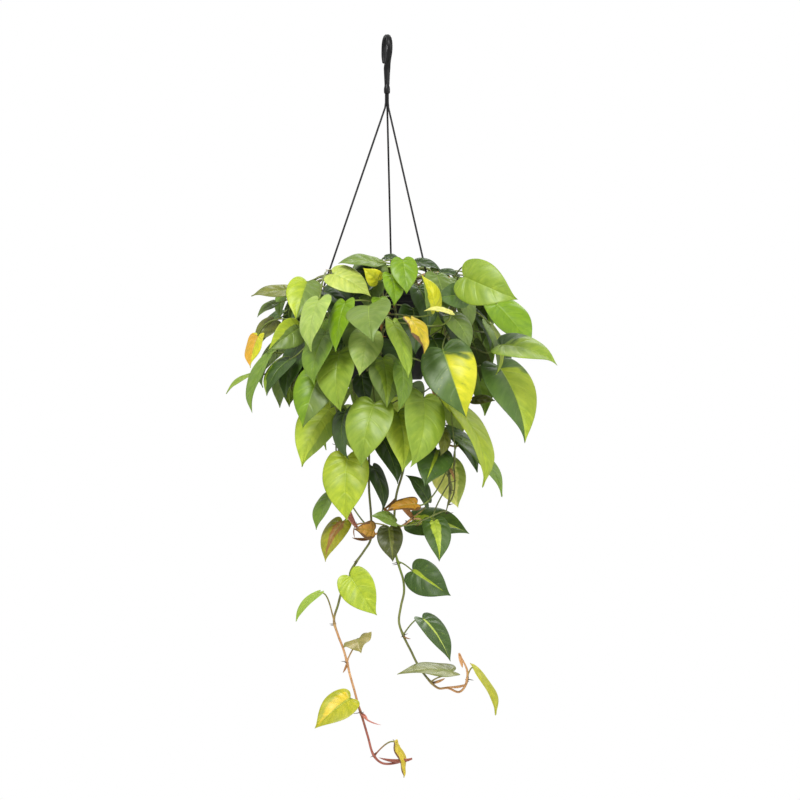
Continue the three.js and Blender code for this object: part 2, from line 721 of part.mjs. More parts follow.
// Draws poses until one has room, moving each outward a little at a time
function growShellLeaf(drawPose) {
  for (let attempt = 0; attempt < TRIES; attempt += 1) {
    const { azimuth, radius, z, length, drop, swing, turn } = drawPose();
    const shape = drawShape();
    for (let push = 0; push < SHELL_PUSHES; push += 1) {
      const pose = shellPose(azimuth, radius + SHELL_PUSH * push, z, length, drop, swing, turn);
      const leaf = { ...pose, ...shape };
      if (TEST_PLACES.every(([u, v]) => isBelowSkyline(bladePoint(leaf, u, v))) && growLeaf(leaf)) {
        return;
      }
    }
  }
}

function growRows(rows, habit) {
  rows.forEach(({ z, count, radius, from, to }) => {
    for (let i = 0; i < count; i += 1) {
      growShellLeaf(() => ({
        azimuth: from + (to - from) * (i + 0.5 + between(-0.4, 0.4)) / count,
        radius: radius + between(-habit.spread, habit.spread),
        z: z + between(-habit.rise, habit.rise),
        length: between(...habit.length),
        drop: between(...habit.drop),
        swing: between(-habit.swing, habit.swing),
        turn: between(-habit.turn, habit.turn),
      }));
    }
  });
}

function growHangingLeaves() {
  HANGING_LEAVES.forEach((row) => {
    const leaf = { ...photoPose(row, row.depth), ...drawShape() };
    const index = stems.findIndex(({ name }) => name === `vine_${row.stem}`);
    const aim = seen(row.from[0], row.from[1], row.depth);
    const places = along(stems[index].line, HANGING_SPACING);
    places.sort((a, b) => size(minus(a, aim)) - size(minus(b, aim)));
    const point = places[0];
    const reach = minus(leaf.base, point);
    const leave = plus(times(reach, HANGING_HANDLE), [0, 0, HANGING_LIFT * size(reach)]);
    const behind = unit(plus(times(leaf.along, -HANGING_UP), times(leaf.face, -HANGING_BACK)));
    const arrive = times(behind, HANGING_HANDLE * size(reach));
    keepLeaf(leaf, { index, point, line: petioleLine(point, leave, arrive, leaf.base) });
  });
}

// Solids

function solidOf(geometry) {
  const bare = geometry.index ? geometry.toNonIndexed() : geometry;
  bare.deleteAttribute('normal');
  bare.deleteAttribute('uv');
  const merged = mergeVertices(bare, 1e-4);
  const position = merged.attributes.position;
  const triangles = [];
  let volume = 0;
  for (let i = 0; i < merged.index.count; i += 3) {
    const corners = [0, 1, 2].map((k) => merged.index.getX(i + k));
    if (new Set(corners).size === 3) {
      const [a, b, c] = corners.map((k) => new THREE.Vector3().fromBufferAttribute(position, k));
      volume += a.dot(b.cross(c));
      triangles.push(corners);
    }
  }
  const order = volume > 0 ? [0, 1, 2] : [0, 2, 1];
  const triVerts = new Uint32Array(triangles.flatMap((corners) => order.map((k) => corners[k])));
  const vertProperties = new Float32Array(position.array);
  return new wasm.Manifold(new wasm.Mesh({ numProp: 3, vertProperties, triVerts }));
}

// One body: what joining leaves loose is dropped, and a hollow that it seals is filled
function join(solids) {
  const whole = wasm.Manifold.union(solids);
  const bodies = whole.decompose();
  bodies.sort((a, b) => b.volume() - a.volume());
  return bodies[0].simplify(JOIN_TOLERANCE);
}

function geometryOf(solid) {
  const { vertProperties, triVerts } = solid.getMesh();
  const geometry = new THREE.BufferGeometry();
  geometry.setAttribute('position', new THREE.BufferAttribute(vertProperties, 3));
  geometry.setIndex(new THREE.BufferAttribute(triVerts, 1));
  geometry.computeVertexNormals();
  return geometry;
}

function geometryFrom(points, triangles) {
  const geometry = new THREE.BufferGeometry();
  geometry.setAttribute('position', new THREE.Float32BufferAttribute(points.flat(), 3));
  geometry.setIndex(triangles.flat());
  return geometry;
}

// Closed tube through points, with a radius at each point
function tube(points, radii, sides) {
  const vertices = [];
  const triangles = [];
  const last = points.length - 1;
  let normal = null;
  points.forEach((point, i) => {
    const before = points[Math.max(i - 1, 0)];
    const after = points[Math.min(i + 1, last)];
    const tangent = unit(minus(after, before));
    const guide = normal ?? (Math.abs(tangent[2]) < 0.9 ? [0, 0, 1] : [1, 0, 0]);
    normal = unit(minus(guide, times(tangent, dot(guide, tangent))));
    const binormal = cross(tangent, normal);
    for (let side = 0; side < sides; side += 1) {
      const angle = 2 * Math.PI * side / sides;
      const offset = plus(times(normal, Math.cos(angle)), times(binormal, Math.sin(angle)));
      vertices.push(plus(point, times(offset, radii[i])));
    }
  });
  for (let i = 0; i < last; i += 1) {
    for (let side = 0; side < sides; side += 1) {
      const a = i * sides + side;
      const b = i * sides + (side + 1) % sides;
      triangles.push([a, b, b + sides], [a, b + sides, a + sides]);
    }
  }
  for (let side = 1; side + 1 < sides; side += 1) {
    triangles.push([0, side + 1, side]);
    triangles.push([last * sides, last * sides + side, last * sides + side + 1]);
  }
  return solidOf(geometryFrom(vertices, triangles));
}

function turned(profile, segments) {
  const geometry = new THREE.LatheGeometry(profile.map(([r, z]) => new THREE.Vector2(r, z)), segments);
  return geometry.rotateX(Math.PI / 2);
}

function hookSolid() {
  const bow = [];
  for (let i = 0; i <= HOOK_STEPS; i += 1) {
    const angle = Math.PI * (1 - i / HOOK_STEPS);
    bow.push([HOOK_BEND * Math.cos(angle), HOOK_BEND * Math.sin(angle) - HOOK_INNER_RADIUS]);
  }
  const path = [...HOOK_TIP, ...bow, ...HOOK_SHAFT].map(([across, z]) => [across, 0, z]);
  const radii = [...HOOK_TIP_RADII, ...bow.map(() => HOOK_RADIUS), ...HOOK_SHAFT_RADII];
  const loop = tube(path, radii, HOOK_SIDES).scale([1, HOOK_BREADTH, 1]).rotate([0, 0, HOOK_TURN]);
  const collar = solidOf(turned([[0, COLLAR_TOP + 2], [COLLAR_NECK_RADIUS, COLLAR_TOP + 2],
    [COLLAR_RADIUS, COLLAR_TOP - 4], [COLLAR_RADIUS, COLLAR_BOTTOM + 3],
    [COLLAR_RADIUS - 0.3, COLLAR_BOTTOM], [0, COLLAR_BOTTOM]], COLLAR_SEGMENTS));
  const socketTop = COLLAR_BOTTOM + SOCKET_DEPTH;
  const socketMouth = COLLAR_BOTTOM - 2;
  const socket = solidOf(turned([[0, socketTop], [SOCKET_RADIUS, socketTop],
    [SOCKET_RADIUS, socketMouth], [0, socketMouth]], COLLAR_SEGMENTS));
  return loop.add(collar).subtract(socket);
}

function strandSolid(azimuth) {
  const lugBottom = RIM_Z - GAP - LUG_THICKNESS;
  const top = COLLAR_BOTTOM + SOCKET_DEPTH - 2 * GAP;
  const out = outward(azimuth);
  const points = [
    plus([0, 0, top], times(out, BUNDLE_RADIUS)),
    plus([0, 0, BUNDLE_END], times(out, BUNDLE_RADIUS)),
    around(azimuth, LUG_RADIUS, RIM_Z + 4),
    around(azimuth, LUG_RADIUS, lugBottom - 0.2),
    around(azimuth, LUG_RADIUS, lugBottom - 0.6),
    around(azimuth, LUG_RADIUS, lugBottom - BARB_LENGTH),
  ];
  const radii = points.map((_, i) => (i === 4 ? BARB_RADIUS : STRAND_RADIUS));
  return tube(points, radii, STRAND_SIDES);
}

function lugSolid(azimuth) {
  const shape = new THREE.Shape();
  const half = LUG_WIDTH / 2;
  const inner = POT_TOP_INSIDE + 1.6;
  shape.moveTo(inner, -half);
  shape.lineTo(LUG_RADIUS, -half);
  shape.absarc(LUG_RADIUS, 0, half, -Math.PI / 2, Math.PI / 2, false);
  shape.lineTo(inner, half);
  const hole = new THREE.Path();
  hole.absarc(LUG_RADIUS, 0, LUG_HOLE_RADIUS, 0, 2 * Math.PI, true);
  shape.holes.push(hole);
  const geometry = new THREE.ExtrudeGeometry(shape, {
    depth: LUG_THICKNESS, bevelEnabled: false, curveSegments: LUG_STEPS,
  });
  geometry.rotateZ((azimuth - 90) * DEGREE);
  geometry.translate(POT_X, 0, RIM_Z - GAP - LUG_THICKNESS);
  return solidOf(geometry);
}

function potSolid() {
  const corner = POT_FLOOR + POT_CORNER;
  const lip = POT_TOP_INSIDE + RIM_CORNER;
  const foot = POT_BOTTOM_INSIDE + RIM_CORNER;
  const profile = [
    [0, POT_FLOOR], [POT_BOTTOM_INSIDE - 1, POT_FLOOR], [POT_BOTTOM_INSIDE, corner],
    [POT_TOP_INSIDE, RIM_Z - RIM_HEIGHT], [lip, RIM_Z - RIM_CORNER], [lip + RIM_CORNER, RIM_Z],
    [RIM_RADIUS - RIM_CORNER, RIM_Z], [RIM_RADIUS, RIM_Z - RIM_CORNER],
    [RIM_RADIUS, RIM_Z - RIM_HEIGHT + 1], [RIM_RADIUS - 1, RIM_Z - RIM_HEIGHT],
    [POT_TOP_INSIDE + POT_WALL, RIM_Z - RIM_HEIGHT - 1],
    [POT_BOTTOM_INSIDE + POT_WALL, POT_FLOOR + RIM_CORNER],
    [foot, POT_BOTTOM], [foot - FOOT_WIDTH, POT_BOTTOM],
    [foot - FOOT_WIDTH - 1, POT_BOTTOM + FOOT_HEIGHT], [0, POT_BOTTOM + FOOT_HEIGHT],
  ];
  const body = solidOf(turned(profile, POT_SEGMENTS).translate(POT_X, 0, 0));
  const drains = [];
  for (let i = 0; i < DRAIN_HOLES; i += 1) {
    const [x, y] = around(360 * i / DRAIN_HOLES, DRAIN_RING, 0);
    drains.push(hexagonalPlug(x, y, DRAIN_RADIUS, POT_BOTTOM - 1, POT_FLOOR + 1));
  }
  return join([body, ...STRAND_AZIMUTHS.map(lugSolid)]).subtract(wasm.Manifold.union(drains));
}

// Upright six-sided plug that cuts a hole
function hexagonalPlug(x, y, radius, low, high) {
  const plug = new THREE.CylinderGeometry(radius, radius, high - low, 6).rotateX(Math.PI / 2);
  return solidOf(plug.translate(x, y, (low + high) / 2));
}

function soilSolid() {
  const low = POT_FLOOR + POT_CORNER;
  const slope = (POT_TOP_INSIDE - POT_BOTTOM_INSIDE) / (RIM_Z - RIM_HEIGHT - low);
  const wall = (z) => POT_BOTTOM_INSIDE + (z - low) * slope - 1.5 * GAP;
  const body = solidOf(turned([
    [0, POT_FLOOR + GAP], [POT_BOTTOM_INSIDE - 1.6, POT_FLOOR + GAP], [wall(low), low],
    [wall(SOIL_TOP - 2), SOIL_TOP - 2], [0, SOIL_TOP + 1],
  ], POT_SEGMENTS).translate(POT_X, 0, 0));
  const holeRadius = (STEM_RADIUS + GAP) / Math.cos(Math.PI / 6);
  const holes = stems.map(({ points: [[x, y]] }) => (
    hexagonalPlug(x, y, holeRadius, ROOT_BOTTOM - GAP, SOIL_TOP + 20)));
  return body.subtract(wasm.Manifold.union(holes));
}

// Closed leaf: a thin blade with both faces split into the same triangles, whose notch opens
// into the three sides of its petiole
function leafSolid(leaf) {
  const halves = [1, -1].map((side) => BLADE_HALF.map(([u, v]) => [u, side * v]));
  const flat = [...MIDRIB.map((u) => [u, 0]), ...halves[0], ...halves[1]];
  const count = flat.length;
  const tip = MIDRIB.length - 1;
  const edge = halves.map((half, side) => half.map((_, k) => MIDRIB.length + side * half.length + k));
  const points = [1, -1].flatMap((side) => flat.map(([u, v]) => {
    return plus(bladePoint(leaf, u, v), times(leaf.face, side * BLADE_THICKNESS / 2));
  }));
  const triangles = edge.flatMap(([a, b, c, d], side) => {
    const half = [[0, a, b], [0, b, 1], [1, b, c], [1, c, 2], [2, c, d], [2, d, tip]];
    return half.map(([i, j, k]) => (side === 0 ? [i, j, k] : [i, k, j]));
  }).flatMap(([i, j, k]) => [[i, j, k], [i + count, k + count, j + count]]);
  const rim = [...edge[0], tip, ...[...edge[1]].reverse()];
  for (let i = 0; i + 1 < rim.length; i += 1) {
    const [a, b] = [rim[i], rim[i + 1]];
    triangles.push([a, a + count, b + count], [a, b + count, b]);
  }
  const first = rim[0];
  const final = rim[rim.length - 1];
  const left = 2 * count;
  const right = left + 1;
  halves.forEach(([[u, v]]) => {
    const away = unit(plus(times(leaf.along, u), times(leaf.across, v)));
    points.push(plus(leaf.base, times(away, PETIOLE_RADIUS)));
  });
  triangles.push([0, left, first], [left, count, first + count], [left, first + count, first]);
  triangles.push([final, final + count, right], [final + count, count, right], [final, right, 0]);
  triangles.push([right, count, left]);
  const { line } = leaf.petiole;
  let ring = [0, left, right];
  for (let i = line.length - 2; i >= 0; i -= 1) {
    const tangent = unit(minus(line[i + 1], line[Math.max(i - 1, 0)]));
    const side = unit(minus(leaf.across, times(tangent, dot(leaf.across, tangent))));
    const top = cross(tangent, side);
    const next = [0, 120, 240].map((angle) => {
      const way = plus(times(top, Math.cos(angle * DEGREE)), times(side, Math.sin(angle * DEGREE)));
      points.push(plus(line[i], times(way, PETIOLE_RADIUS)));
      return points.length - 1;
    });
    for (let k = 0; k < 3; k += 1) {
      const m = (k + 1) % 3;
      triangles.push([ring[m], ring[k], next[k]], [ring[m], next[k], next[m]]);
    }
    ring = next;
  }
  triangles.push([ring[0], ring[2], ring[1]]);
  return solidOf(geometryFrom(points, triangles));
}

function vineSolid(stem) {
  const last = stem.line.length - 1;
  const taper = (i) => 1 - STEM_TIP_TAPER * Math.max(0, STEM_TIP_STEPS - (last - i));
  const radii = stem.line.map((_, i) => STEM_RADIUS * taper(i));
  return join([tube(stem.line, radii, STEM_SIDES), ...stem.leaves.map(leafSolid)]);
}

// Materials

const blackPlastic = new THREE.MeshStandardMaterial({ color: 0x19191b, roughness: 0.45, metalness: 0 });
const strandPlastic = new THREE.MeshStandardMaterial({ color: 0x2b2c2e, roughness: 0.5, metalness: 0 });
const pottingMix = new THREE.MeshStandardMaterial({ color: 0x33261c, roughness: 0.95, metalness: 0 });
const foliage = new THREE.MeshStandardMaterial({ color: 0x78a032, roughness: 0.45, metalness: 0 });

// Assembly

growStems();
growHangingLeaves();
growRows(INNER_ROWS, INNER_HABIT);
growPhotoLeaves();
growRows(TOP_ROWS, TOP_HABIT);
growRows(BACK_ROWS, BACK_HABIT);

const plant = new THREE.Group();

function addPiece(name, solid, material) {
  const mesh = new THREE.Mesh(geometryOf(solid), material);
  mesh.name = name;
  plant.add(mesh);
}

addPiece('hook', hookSolid(), blackPlastic);
STRAND_AZIMUTHS.forEach((azimuth, i) => addPiece(STRAND_NAMES[i], strandSolid(azimuth), strandPlastic));
addPiece('pot', potSolid(), blackPlastic);
addPiece('soil', soilSolid(), pottingMix);
stems.forEach((stem) => addPiece(stem.name, vineSolid(stem), foliage));

export default plant;
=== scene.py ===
"""Brasil philodendron in a black plastic hanging pot: its looks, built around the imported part.

The layout functions work in millimetres and repeat the rules that place the part's own leaves and
stems, so that each fine leaf lies where its solid is. Blender's meshes are in metres, +Z up, with the
origin at the inside top of the hook.
"""

import math

import bmesh
import bpy
import numpy as np
from mathutils import Matrix, Vector, noise


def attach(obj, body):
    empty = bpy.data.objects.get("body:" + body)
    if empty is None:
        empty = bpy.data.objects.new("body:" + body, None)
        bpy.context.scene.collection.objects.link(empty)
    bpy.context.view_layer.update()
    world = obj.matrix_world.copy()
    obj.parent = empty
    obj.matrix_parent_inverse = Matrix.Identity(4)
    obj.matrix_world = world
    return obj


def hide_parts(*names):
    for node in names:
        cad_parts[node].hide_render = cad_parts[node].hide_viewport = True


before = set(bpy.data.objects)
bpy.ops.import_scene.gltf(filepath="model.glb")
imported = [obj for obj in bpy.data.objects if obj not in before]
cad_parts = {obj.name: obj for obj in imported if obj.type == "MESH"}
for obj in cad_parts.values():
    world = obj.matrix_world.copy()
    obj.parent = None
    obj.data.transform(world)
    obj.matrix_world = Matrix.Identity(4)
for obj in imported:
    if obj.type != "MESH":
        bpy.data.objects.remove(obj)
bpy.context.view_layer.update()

MM = 0.001
DEGREE = math.pi / 180

# Photograph: its scale in the plane of the hook, and where its camera stood, in mm
PHOTO_PIXELS = 800
PHOTO_CENTRE = 400
MM_PER_PIXEL = 1.3
CAMERA_DISTANCE = 3000
CAMERA_X = 16.9
CAMERA_Z = -470.6
SENSOR_WIDTH = 36

# Hook, in its own plane as [across, z]
HOOK_INNER_RADIUS = 12
HOOK_RADIUS = 2.6
HOOK_BEND = HOOK_INNER_RADIUS + HOOK_RADIUS
HOOK_BREADTH = 1.4
HOOK_TURN = -75
HOOK_STEPS = 8
HOOK_TIP = [[1.5 - HOOK_BEND, -30.5], [-HOOK_BEND, -22]]
HOOK_TIP_RADII = [2.1, HOOK_RADIUS]
HOOK_SHAFT = [[HOOK_BEND - 1.5, -20], [HOOK_BEND - 6.5, -27.5], [3.2, -33], [0.6, -39], [0, -46], [0, -64]]
HOOK_SHAFT_RADII = [HOOK_RADIUS, HOOK_RADIUS, 2.9, 3.2, 2.9, 2.3]
HOOK_CAP = 0.8
HOOK_CAP_SHARE = 0.55
HOOK_PIECES = 8
HOOK_SIDES = 28
COLLAR_TOP = -62
COLLAR_BOTTOM = -72
COLLAR_RADIUS = 4.1
COLLAR_NECK_RADIUS = 2.9
SOCKET_RADIUS = 3.25
SOCKET_DEPTH = 6
COLLAR_CORNER_RADII = [0.8, 1.2, 0.5, 0.4, 0.2, 0.3]
COLLAR_SEGMENTS = 40

# Strands
STRAND_AZIMUTHS = [-69.4, 50.6, 170.6]
STRAND_NAMES = ["strand_left", "strand_right", "strand_back"]
STRAND_RADIUS = 1.25
BUNDLE_RADIUS = 1.65
BUNDLE_END = -88
BARB_RADIUS = 3.1
BARB_LENGTH = 6
BARB_TIP_RADIUS = 0.9
STRAND_RINGS = 32
STRAND_SIDES = 16

# Pot and soil
POT_X = -7
RIM_Z = -328
RIM_RADIUS = 75
RIM_HEIGHT = 8
POT_BOTTOM = RIM_Z - 116
POT_WALL = 2.2
POT_TOP_INSIDE = 69.4
POT_BOTTOM_INSIDE = 51.5
POT_FLOOR = POT_BOTTOM + 4.2
DRAIN_HOLES = 5
DRAIN_RADIUS = 4
DRAIN_RING = 34
LUG_RADIUS = 79
LUG_WIDTH = 12
LUG_THICKNESS = 3.2
LUG_HOLE_RADIUS = 2.5
LUG_TOP = RIM_Z - 0.3
STRAND_BEND = RIM_Z + 4
SOIL_TOP = -340
ROOT_BOTTOM = -368

# Leafy stems
STEM_RADIUS = 2.0
STEM_TOP = -317
PETIOLE_RADIUS = 1.25
PETIOLE_STEPS = np.array([0, 0.36, 0.74, 1])

# Heart-shaped blade, in units of its length from the notch to the tip
BLADE_HALF = [[-0.11, 0.17], [0.08, 0.345], [0.4, 0.36], [0.73, 0.2], [1, 0]]
BLADE_WIDTH = 0.73
LOBE_REACH = 0.11

# Ways that a blade is bent, drawn for each leaf: how far it arches, folds, droops and twists
BENDS = {"arch": (0.05, 0.13), "fold": (0.16, 0.34), "droop": (0.45, 0.75), "twist": (-0.25, 0.25)}
TWIST_MIDDLE = 0.4
USUAL_LEAN = 12

# Canopy: the radius that its leaves reach, against the height
CANOPY = [[-200, 40], [-282, 70], [-301, 112], [-327, 148], [-366, 166], [-405, 170],
          [-445, 165], [-484, 150], [-523, 125], [-562, 105], [-601, 85], [-640, 65], [-760, 50]]
CANOPY_MIDDLE_Z = -405
CANOPY_START = 0.72
CANOPY_DEPTH = -80
CANOPY_OPENNESS = 60

# Room that leaves and stems leave each other
CELL = 2.5
GRID_LOW = np.array([-160, -160, -400])
GRID_SHAPE = (320, 320, 408)
BLADE_ROOM = 5.0
TUBE_ROOM = 3.4
POT_ROOM = 81
POT_ROOM_ABOVE = 7
POT_ROOM_BELOW = 6
BLADE_PUSH = 2
MOST_PUSHES = 55
SHELL_PUSH = 2.5
SHELL_PUSHES = 14
TRIES = 10
AZIMUTH_SPREAD = 0.4
NOBODY = -2
STRAND_OWNER = -1

# Petioles: their reach, the places on the stems that are tried, and what they may pass close to
SHORTEST_PETIOLE = 14
LONGEST_PETIOLE = 128
LEAST_WANTED = 42
MOST_WANTED = 85
WANTED_SHARE = 0.95
PLACE_SPACING = 6
NODE_SPACING = 9
MOST_PLACES = 140
HEIGHT_COST = 0.5
FREE_HEIGHT = 8
BARE_STEM = 18
NEAR_STEM = 6
NEAR_OWN_STEM = 18
NEAR_BLADE = 7
PETIOLE_TESTS = 16
HANDLE_SHARE = 0.35
OUTWARD_SHARE = 0.6
TOWARDS_SHARE = 0.5
LIFTS = [0.35, 0.1, 0.6, -0.15, 1]
ARRIVALS = np.array([[0.8, 0.6, 0], [0.55, 0.85, 0], [1, 0.1, 0], [0.6, 0.5, 0.7], [0.6, 0.5, -0.7],
                     [0.1, 1, 0], [0.3, 0.8, 0.6], [0.3, 0.8, -0.6]])
HANGING_SPACING = 3
HANGING_HANDLE = 0.3
HANGING_LIFT = 0.16
HANGING_UP = 0.8
HANGING_BACK = 0.5
FIRST_BATCH = 2
BATCH_GROWTH = 4
LARGEST_BATCH = 48

# Colours, as sRGB from 0 to 255
COLOURS = dict(
    # The first, deepest green is painted shade, for leaves in the dark gaps and the inside of the pile
    deep=(42, 62, 20), dark=(58, 82, 28), moss=(76, 102, 40), sheen=(100, 120, 50),
    green=(106, 134, 40), bright=(108, 140, 16), light=(124, 146, 44), fresh=(138, 162, 52),
    # On this line, the spring green is partly painted light: a lime green made lighter to stand in for sun
    # on leaves that lie in shade
    mist=(146, 166, 82), lime=(150, 166, 38), spring=(176, 194, 62), pale=(170, 182, 86),
    yellow=(192, 190, 30), mustard=(158, 156, 34), gold=(196, 172, 42), orange=(200, 152, 46),
    # On this line, the cream is partly painted light: a pale leaf colour made lighter to stand in for
    # backlight glowing through the leaf
    amber=(172, 124, 40), cream=(228, 226, 128), murk=(70, 76, 26), olive=(108, 112, 46),
    bronze=(142, 130, 66), straw=(200, 194, 108), stem=(110, 116, 56), tan=(198, 150, 98),
    red=(150, 82, 64), dry=(158, 110, 54), brown=(104, 70, 34), pink=(210, 136, 122),
    root=(66, 56, 38))

# Spans of a blade: its halves, from -1 to 1 across it, and its length, from 0 at the notch to 1 at the
# tip, each with some room beyond the edge
LEFT = (-1.2, 0.0)
RIGHT = (0.0, 1.2)
NOWHERE = (2, 2)
WHOLE = (-0.1, 1.1)

# Looks of a blade with a second colour: its colour, the second one, and the spans across and along
# where that lies. A look that isn't listed here is a plain colour.
LOOKS = {
    "pale": ("pale", "yellow", -0.5, 0.5, -0.1, 0.12),
    "gold": ("gold", "brown", -1.2, -0.8, *WHOLE),
    "old": ("yellow", "orange", -1.2, 0.1, 0.2, 1.1),
    "dry": ("brown", "amber", -0.8, 0.7, 0.05, 0.9),
    # A pale leaf made lighter, partly painted backlight glowing through it
    "cream": ("cream", "pale", 0.6, 1.2, *WHOLE),
    "lime_left": ("sheen", "lime", *LEFT, *WHOLE),
    "lime_right": ("sheen", "lime", *RIGHT, *WHOLE),
    "yellow_right": ("moss", "yellow", *RIGHT, 0.47, 1.1),
    "yellow_centre": ("moss", "lime", -0.06, 1.2, 0.4, 1.1),
    # A lime green made lighter, partly painted sunlight for leaves that lie in shade
    "spring": ("spring", "fresh", 0.5, 1.2, *WHOLE),
    "upper_lime": ("sheen", "lime", -1.2, -0.4, *WHOLE),
    "mustard": ("mustard", "gold", -0.6, -0.1, 0.3, 1.1),
    "orange_base": ("mustard", "orange", -1.2, 1.2, -0.1, 0.2),
    "murk": ("murk", "olive", -0.1, 0.3, 0.2, 1.1),
    "pale_streak": ("dark", "pale", -0.07, 0.09, 0.05, 1.1),
    "pale_centre": ("moss", "spring", -0.35, 0.35, 0.1, 1.1),
    "sheen_right": ("bright", "sheen", *RIGHT, *WHOLE),
    "sheen_edge": ("yellow", "sheen", 0.7, 1.2, *WHOLE),
    "dark_left": ("moss", "dark", *LEFT, *WHOLE),
    "dark_right": ("light", "dark", 0.05, 1.2, -0.1, 0.52),
    "light_edge": ("dark", "light", -1.2, -0.7, *WHOLE),
    "light_centre": ("sheen", "light", -0.55, 0.55, *WHOLE),
    "lime_centre": ("dark", "spring", -0.3, 0.3, 0.2, 1.1),
    "lime_streak": ("dark", "lime", -0.05, 0.16, 0.05, 0.9),
    "gold_centre": ("mustard", "dry", -0.3, 0.35, 0.15, 1.1),
}

# Leaves that the photograph shows, from the back to the front of the pile: the pixel of the notch,
# that of the tip, the width as seen in pixels, the look, and for one how far it starts ahead in mm
# The leaves in the deepest green are painted shade, put in the dark gaps of the pile
PHOTO_LEAVES = [
    ((362, 376), (368, 406), 20, "deep"),
    ((372, 270), (350, 303), 26, "deep"),
    ((325, 292), (348, 310), 14, "deep"),
    ((345, 412), (348, 460), 20, "dark"),
    ((447, 428), (477, 473), 17, "moss"),
    ((373, 467), (383, 512), 16, "deep"),
    ((437, 450), (424, 487), 38, "lime_streak"),
    ((389, 528), (393, 562), 26, "murk"),
    ((473, 400), (495, 401), 10, "olive"),
    ((500, 338), (506, 374), 14, "dark"),
    ((272, 352), (262, 388), 12, "green"),
    ((301, 366), (291, 392), 10, "olive"),
    ((443, 430), (441, 456), 14, "olive"),
    ((283, 289), (280, 319), 13, "green"),
    ((275, 303), (257, 317), 9, "sheen"),
    ((301, 341), (285, 399), 26, "dark"),
    ((274, 321), (254, 344), 18, "olive"),
    ((307, 282), (296, 320), 34, "lime_left"),
    ((299, 328), (268, 350), 29, "upper_lime"),
    ((258, 336), (250, 368), 17, "old"),
    ((288, 290), (251, 296), 14, "olive"),
    ((252, 375), (226, 394), 6, "light"),
    ((267, 358), (251, 413), 15, "green"),
    ((289, 360), (266, 396), 19, "light_edge"),
    ((292, 364), (280, 408), 22, "sheen"),
    ((319, 300), (311, 352), 26, "mist"),
    ((325, 334), (313, 385), 28, "green"),
    ((331, 408), (302, 467), 41, "spring"),
    ((320, 374), (303, 428), 40, "sheen_right"),
    ((345, 303), (336, 352), 22, "bright"),
    ((339, 353), (340, 412), 38, "light"),
    ((383, 358), (386, 408), 34, "light_centre"),
    ((379, 298), (383, 317), 17, "bright"),
    ((368, 333), (360, 376), 34, "mist"),
    ((369, 306), (372, 341), 45, "sheen"),
    ((377, 262), (338, 264), 14, "sheen"),
    ((378, 281), (363, 268), 18, "yellow"),
    ((333, 274), (371, 296), 27, "pale"),
    ((391, 275), (394, 306), 20, "bright"),
    ((403, 260), (407, 294), 27, "bright"),
    ((385, 257), (401, 262), 8, "deep"),
    ((416, 262), (441, 270), 10, "deep"),
    ((440, 273), (462, 279), 8, "deep"),
    ((466, 295), (434, 298), 26, "dark_left"),
    ((435, 310), (421, 275), 18, "sheen_edge"),
    ((451, 312), (424, 311), 6, "straw"),
    ((411, 319), (425, 354), 17, "gold"),
    ((393, 323), (408, 378), 19, "fresh"),
    ((452, 316), (470, 349), 22, "sheen"),
    ((402, 365), (399, 411), 19, "green"),
    ((374, 404), (361, 467), 45, "light"),
    ((382, 438), (398, 484), 24, "dark"),
    ((398, 413), (403, 472), 38, "spring"),
    ((424, 398), (412, 468), 42, "fresh"),
    ((347, 457), (346, 521), 46, "lime"),
    ((445, 393), (463, 430), 18, "lime"),
    ((462, 440), (503, 497), 15, "green"),
    ((458, 409), (485, 487), 24, "lime"),
    ((443, 350), (466, 418), 54, "yellow_right"),
    ((490, 325), (497, 375), 14, "lime_right"),
    ((496, 304), (532, 348), 34, "bright"),
    ((501, 345), (558, 364), 26, "dark_right"),
    ((464, 277), (517, 300), 46, "light", 45),
    ((500, 367), (526, 443), 44, "yellow_centre"),
    ((330, 496), (316, 530), 15, "green"),
    ((342, 522), (325, 562), 22, "gold_centre"),
    ((428, 502), (406, 475), 15, "dark"),
    ((413, 521), (470, 533), 28, "pale_centre"),
    ((434, 521), (439, 562), 27, "pale_centre"),
    ((445, 464), (458, 508), 34, "cream"),
    ((395, 522), (371, 516), 12, "sheen"),
    ((374, 530), (354, 529), 19, "dry"),
    ((416, 504), (386, 511), 13, "dry"),
]

# Leaves of the two long stems: stem, notch, tip, width, depth, where the petiole leaves, look
HANGING_LEAVES = [
    ("left", (350, 576), (376, 616), 36, -70, (355, 563), "lime"),
    ("left", (319, 593), (296, 622), 8, -58, (333, 624), "fresh"),
    ("left", (358, 639), (361, 652), 32, -52, (347, 663), "bronze"),
    ("left", (350, 699), (315, 729), 27, -62, (360, 712), "mustard"),
    ("left", (396, 743), (404, 778), 7, -66, (374, 757), "gold"),
    ("right", (413, 571), (451, 596), 35, -66, (398, 563), "lime_streak"),
    ("right", (423, 619), (450, 662), 20, -64, (403, 636), "pale_streak"),
    ("right", (452, 671), (397, 674), 9, -70, (432, 683), "olive"),
    ("right", (474, 668), (497, 715), 8, -62, (467, 680), "orange_base"),
]
